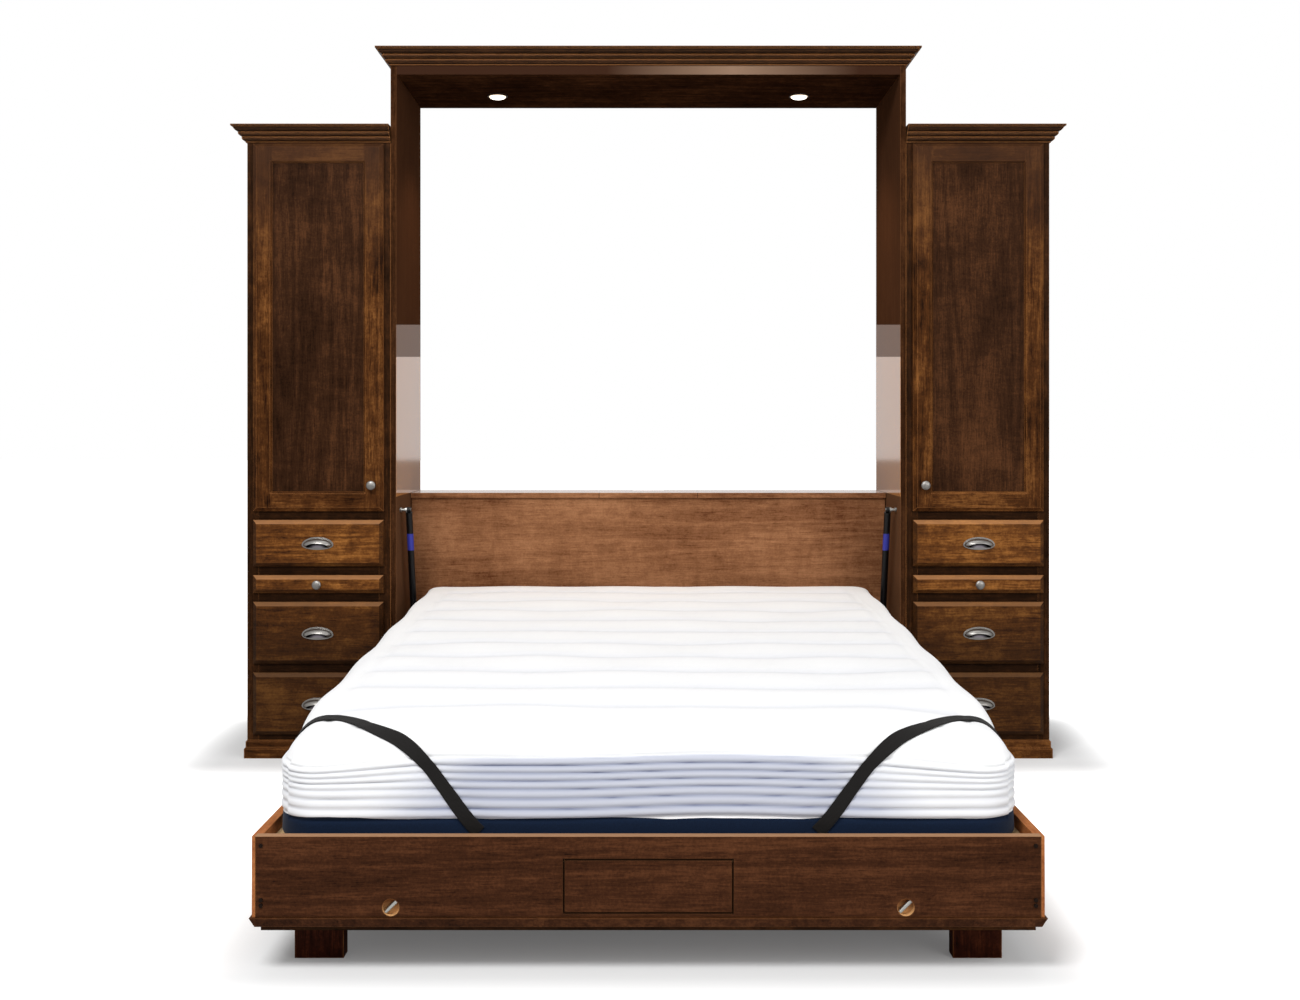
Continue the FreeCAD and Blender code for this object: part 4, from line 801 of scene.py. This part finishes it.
def pressed(points, routes):
    """How deep the straps press into the cover."""
    x, y, _ = points.T
    depth = np.zeros(len(points))
    for route in routes:
        low, high = route.min(axis=0) - PRESS_REACH, route.max(axis=0) + PRESS_REACH
        near = np.where((x > low[0]) & (x < high[0]) & (y < high[1]))[0]
        gap = np.linalg.norm(points[near, None, :] - route[None, ::2, :], axis=2).min(axis=1)
        depth[near] = np.maximum(depth[near], PRESS_DEPTH * groove(gap, PRESS_HALF))
    return depth


# Meshes
def spaced(low, high, fine, coarse, margin):
    """Places from low to high, close together within the margin of each end."""
    ends = int(round(margin / fine))
    middle = int(round((high - low - 2 * margin) / coarse))
    return np.concatenate([
        np.linspace(low, low + margin, ends, endpoint=False),
        np.linspace(low + margin, high - margin, middle, endpoint=False),
        np.linspace(high - margin, high, ends + 1),
    ])


def box_skin(xs, ys, zs):
    """Points and four-sided faces of a box's skin through the given places on each axis."""
    places, faces = {}, []
    points = []

    def index(i, j, k):
        key = (i, j, k)
        if key not in places:
            places[key] = len(points)
            points.append((xs[i], ys[j], zs[k]))
        return places[key]

    last = (len(xs) - 1, len(ys) - 1, len(zs) - 1)
    for fixed in range(3):
        u, v = [axis for axis in range(3) if axis != fixed]
        for end in (0, last[fixed]):
            turned = (end == 0) == (fixed != 1)
            for a in range(last[u]):
                for b in range(last[v]):
                    corner = []
                    for step_a, step_b in ((0, 0), (1, 0), (1, 1), (0, 1)):
                        spot = [0, 0, 0]
                        spot[fixed] = end
                        spot[u] = a + step_a
                        spot[v] = b + step_b
                        corner.append(index(*spot))
                    faces.append(tuple(reversed(corner)) if turned else tuple(corner))
    return np.array(points), faces


def tube_faces(rings, count):
    """Faces between rings of count points each, and a cap on each end."""
    faces = []
    for ring in range(rings - 1):
        for j in range(count):
            a, b = ring * count + j, ring * count + (j + 1) % count
            faces.append((a, b, b + count, a + count))
    faces.append(tuple(reversed(range(count))))
    faces.append(tuple(range((rings - 1) * count, rings * count)))
    return faces


def new_piece(name, points, faces, material):
    """A smooth piece of the bed."""
    mesh = bpy.data.meshes.new(name)
    mesh.from_pydata([tuple(point) for point in points], [], faces)
    mesh.polygons.foreach_set("use_smooth", [True] * len(mesh.polygons))
    mesh.materials.append(material)
    mesh.update()
    piece = bpy.data.objects.new(name, mesh)
    bpy.context.scene.collection.objects.link(piece)
    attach(piece, "bed")
    return piece


def store(piece, name, values):
    attribute = piece.data.attributes.new(name, "FLOAT", "POINT")
    attribute.data.foreach_set("value", np.asarray(values, dtype=np.float32))


def make_mattress(routes):
    """The padded cover, with hollows where the straps press into it."""
    xs = spaced(MATTRESS_LOW.x, MATTRESS_HIGH.x, MESH_FINE, MESH_X, MESH_MARGIN)
    ys = spaced(MATTRESS_LOW.y, MATTRESS_HIGH.y, MESH_FINE, MESH_Y, MESH_MARGIN)
    zs = np.linspace(MATTRESS_LOW.z, MATTRESS_HIGH.z, MESH_ROWS)
    points, faces = box_skin(xs, ys, zs)
    points = onto_form(points)
    normal = outward(points)
    out, tint_and_shade = padding(points, normal)
    out -= pressed(points, routes)
    out *= smooth(MATTRESS_LOW.z - 0.001, MATTRESS_LOW.z + UNDERSIDE_FADE, points[:, 2])
    skin = settled(points + normal * out[:, None])
    piece = new_piece("mattress_cover", skin, faces, fabric("mattress_fabric"))
    store(piece, "tint_and_shade", tint_and_shade)
    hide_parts("mattress")


# Straps
STRAP_HALF_WIDTH, STRAP_HALF_THICK = 0.0145, 0.0013
STRAP_SINK = 0.0044
STRAP_PROFILE = (
    (-1.0, 0.2), (-0.96, 0.9), (-0.8, 1.0), (-0.4, 1.0), (0.0, 1.0), (0.4, 1.0), (0.8, 1.0), (0.96, 0.9),
    (1.0, 0.2), (0.9, -1.6), (-0.9, -1.6),
)
SPAN_STEPS = 14
CREST_REACH = 8


def strap_rows():
    """Places along a strap: in from the mattress's side, on from its foot, and height."""
    hidden, top = RAIL_TOP - 0.004, MATTRESS_HIGH.z
    return (
        (0.0, 0.178, hidden), (0.0, 0.176, 0.36), (0.0, 0.172, 0.44), (0.018, 0.168, top - 0.028),
        (0.054, 0.162, top - 0.003), (0.083, 0.150, top), (0.117, 0.131, top), (0.151, 0.102, top),
        (0.184, 0.069, top - 0.001), (0.219, 0.042, top - 0.010), (0.252, 0.024, top - 0.025),
        (0.284, 0.007, top - 0.049), (0.314, 0.0, top - 0.087), (0.344, 0.0, top - 0.140),
        (0.373, 0.0, top - 0.184), (0.402, 0.0, top - 0.221), (0.417, 0.0, hidden),
    )


def strap_route(side):
    """Points of a strap's middle line on the mattress, from its side to its foot, as a smooth curve."""
    line = np.array([
        (side * (MATTRESS_HIGH.x - inset), MATTRESS_LOW.y + ahead, z) for inset, ahead, z in strap_rows()])
    fine = []
    for i in range(len(line) - 1):
        before = line[max(i - 1, 0)]
        after = line[min(i + 2, len(line) - 1)]
        for t in np.linspace(0, 1, SPAN_STEPS, endpoint=False):
            fine.append(0.5 * (
                2 * line[i] + (line[i + 1] - before) * t
                + (2 * before - 5 * line[i] + 4 * line[i + 1] - after) * t ** 2
                + (3 * line[i] - before - 3 * line[i + 1] + after) * t ** 3))
    fine.append(line[-1])
    return onto_form(np.array(fine))


def make_strap(name, route, material):
    """Webbing with rounded edges that lies on the mattress along its route."""
    normal = outward(route)
    ahead = np.gradient(route, axis=0)
    ahead /= np.linalg.norm(ahead, axis=1, keepdims=True)
    side = np.cross(ahead, normal)
    side /= np.linalg.norm(side, axis=1, keepdims=True)
    over = padding(route, normal)[0]
    window = 2 * CREST_REACH + 1
    crest = np.array([over[max(i - CREST_REACH, 0):i + CREST_REACH + 1].max() for i in range(len(over))])
    crest = np.convolve(np.pad(crest, CREST_REACH, mode="edge"), np.full(window, 1 / window), mode="valid")
    base = normal * (crest - STRAP_SINK)[:, None]
    travelled = np.concatenate([[0], np.cumsum(np.linalg.norm(np.diff(route, axis=0), axis=1))])
    points, across, run = [], [], []
    for i in range(len(route)):
        for share, lift in STRAP_PROFILE:
            points.append(
                route[i] + base[i] + side[i] * share * STRAP_HALF_WIDTH + normal[i] * lift * STRAP_HALF_THICK)
            across.append(share * STRAP_HALF_WIDTH)
            run.append(travelled[i])
    faces = tube_faces(len(route), len(STRAP_PROFILE))
    piece = new_piece(name, settled(np.array(points)), faces, material)
    store(piece, "across", across)
    store(piece, "along", run)
    return piece


def make_bedding():
    routes = [strap_route(-1), strap_route(1)]
    make_mattress(routes)
    material = webbing("strap_webbing")
    straps = [make_strap(f"strap_{side}", route, material) for side, route in zip(SIDES, routes)]
    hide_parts("mattress_straps")


# Studio
FLOOR_REACH = 40.0
FLOOR_PAINT = (0.78, 0.78, 0.78, 1.0)
WHITE = (1.0, 1.0, 1.0, 1.0)
BED_HALF_X, BED_HALF_Y = 0.80, 1.15
PIERS_HALF_X, PIERS_Y, PIERS_HALF_Y = 1.37, 0.90, 0.28
# The floor's glow, and how fast the painted shadow round the bed and piers gives way to white
FLOOR_GLOW, SHADOW_FADE = 0.11, 4.0
WORLD_LIGHT, WORLD_SHOWN = 0.36, 1.0


def make_floor():
    """Plain pale floor that the camera sees turn white away from bed and piers: painted shadow near them."""
    graph = Graph("floor_paint")
    seen = Wire(graph, graph.node("ShaderNodeLightPath").outputs["Is Camera Ray"])
    x, y, _ = graph.place()

    def outside(over_x, over_y):
        over_x, over_y = over_x.at_least(0.0), over_y.at_least(0.0)
        return graph.math("SQRT", over_x * over_x + over_y * over_y)

    from_bed = outside(abs(x) - BED_HALF_X, abs(y) - BED_HALF_Y)
    from_piers = outside(abs(x) - PIERS_HALF_X, abs(y - PIERS_Y) - PIERS_HALF_Y)
    # Painted shadow: the glow is held back near the bed and the piers, even where no shadow falls
    far = from_bed.at_most(from_piers) * SHADOW_FADE
    graph.finish(
        Base_Color=FLOOR_PAINT, Roughness=0.9, Specular_IOR_Level=0.0, Emission_Color=WHITE,
        Emission_Strength=seen * (FLOOR_GLOW + (far * far).clamped()))

    mesh = bpy.data.meshes.new("floor")
    corners = [(i * FLOOR_REACH, j * FLOOR_REACH, 0) for i, j in ((-1, -1), (1, -1), (1, 1), (-1, 1))]
    mesh.from_pydata(corners, [], [(0, 1, 2, 3)])
    mesh.materials.append(graph.material)
    floor = bpy.data.objects.new("floor", mesh)
    bpy.context.scene.collection.objects.link(floor)


def make_world():
    """Even light, and a white background where it is seen, in gloss and through glass too."""
    world = bpy.data.worlds.new("studio")
    bpy.context.scene.world = world
    world.use_nodes = True
    tree = world.node_tree
    background = tree.nodes["Background"]
    background.inputs["Color"].default_value = WHITE
    path = tree.nodes.new("ShaderNodeLightPath")
    shown = path.outputs["Is Camera Ray"]
    for ray in ("Is Transmission Ray", "Is Glossy Ray"):
        either = tree.nodes.new("ShaderNodeMath")
        either.operation = "MAXIMUM"
        tree.links.new(shown, either.inputs[0])
        tree.links.new(path.outputs[ray], either.inputs[1])
        shown = either.outputs[0]
    strength = tree.nodes.new("ShaderNodeMapRange")
    strength.inputs["To Min"].default_value = WORLD_LIGHT
    strength.inputs["To Max"].default_value = WORLD_SHOWN
    tree.links.new(shown, strength.inputs["Value"])
    tree.links.new(strength.outputs[0], background.inputs["Strength"])


def make_lamp(name, kind, location, target, energy, colour=(1.0, 1.0, 1.0), size=None, spread=None):
    data = bpy.data.lights.new(name, kind)
    data.energy = energy
    data.color = colour
    if kind == "AREA":
        data.shape = "RECTANGLE"
        data.size, data.size_y = size
    if kind == "SPOT":
        data.spot_size = spread
        data.spot_blend = 0.8
        data.shadow_soft_size = 0.03
    lamp = bpy.data.objects.new(name, data)
    lamp.location = location
    aim = Vector(target) - Vector(location)
    lamp.rotation_euler = aim.to_track_quat("-Z", "Y").to_euler()
    bpy.context.scene.collection.objects.link(lamp)


def make_lamps():
    make_lamp("top", "AREA", (0.0, -0.35, 5.4), (0, -0.1, 0.6), 52, size=(4.5, 1.6))
    make_lamp("key", "AREA", (-1.5, -3.9, 4.4), (0, 0.1, 0.8), 210, size=(2.2, 1.4))
    make_lamp("fill", "AREA", (3.4, -3.8, 2.6), (0, 0.4, 0.8), 85, size=(3.0, 3.0))
    for side, x in zip(SIDES, (-PUCK_X, PUCK_X)):
        make_lamp(
            f"puck_{side}", "SPOT", (x, PUCK_Y, PUCK_Z), (x, WALL_Y - 0.19, 0), 14,
            colour=(1.0, 0.80, 0.58), spread=math.radians(110))


# Camera, with its lens as a focal length in pixels of a frame 1300 pixels wide
FRAME_WIDTH, FOCAL_PIXELS = 1300, 1411
CAMERA_AWAY, CAMERA_HEIGHT = 5.154, 1.099
SHIFT_X, SHIFT_Y = 0.0013, -0.0577


def make_camera():
    data = bpy.data.cameras.new("camera")
    data.sensor_width = 36.0
    data.lens = FOCAL_PIXELS / FRAME_WIDTH * data.sensor_width
    data.shift_x = SHIFT_X
    data.shift_y = SHIFT_Y
    camera = bpy.data.objects.new("camera", data)
    camera.location = (0.0, WALL_Y - CAMERA_AWAY, CAMERA_HEIGHT)
    camera.rotation_euler = (math.radians(90), 0, 0)
    bpy.context.scene.collection.objects.link(camera)
    bpy.context.scene.camera = camera


dress_wood()
dress_metal()
make_bedding()
make_floor()
make_world()
make_lamps()
make_camera()
bpy.context.scene.view_settings.view_transform = "Standard"
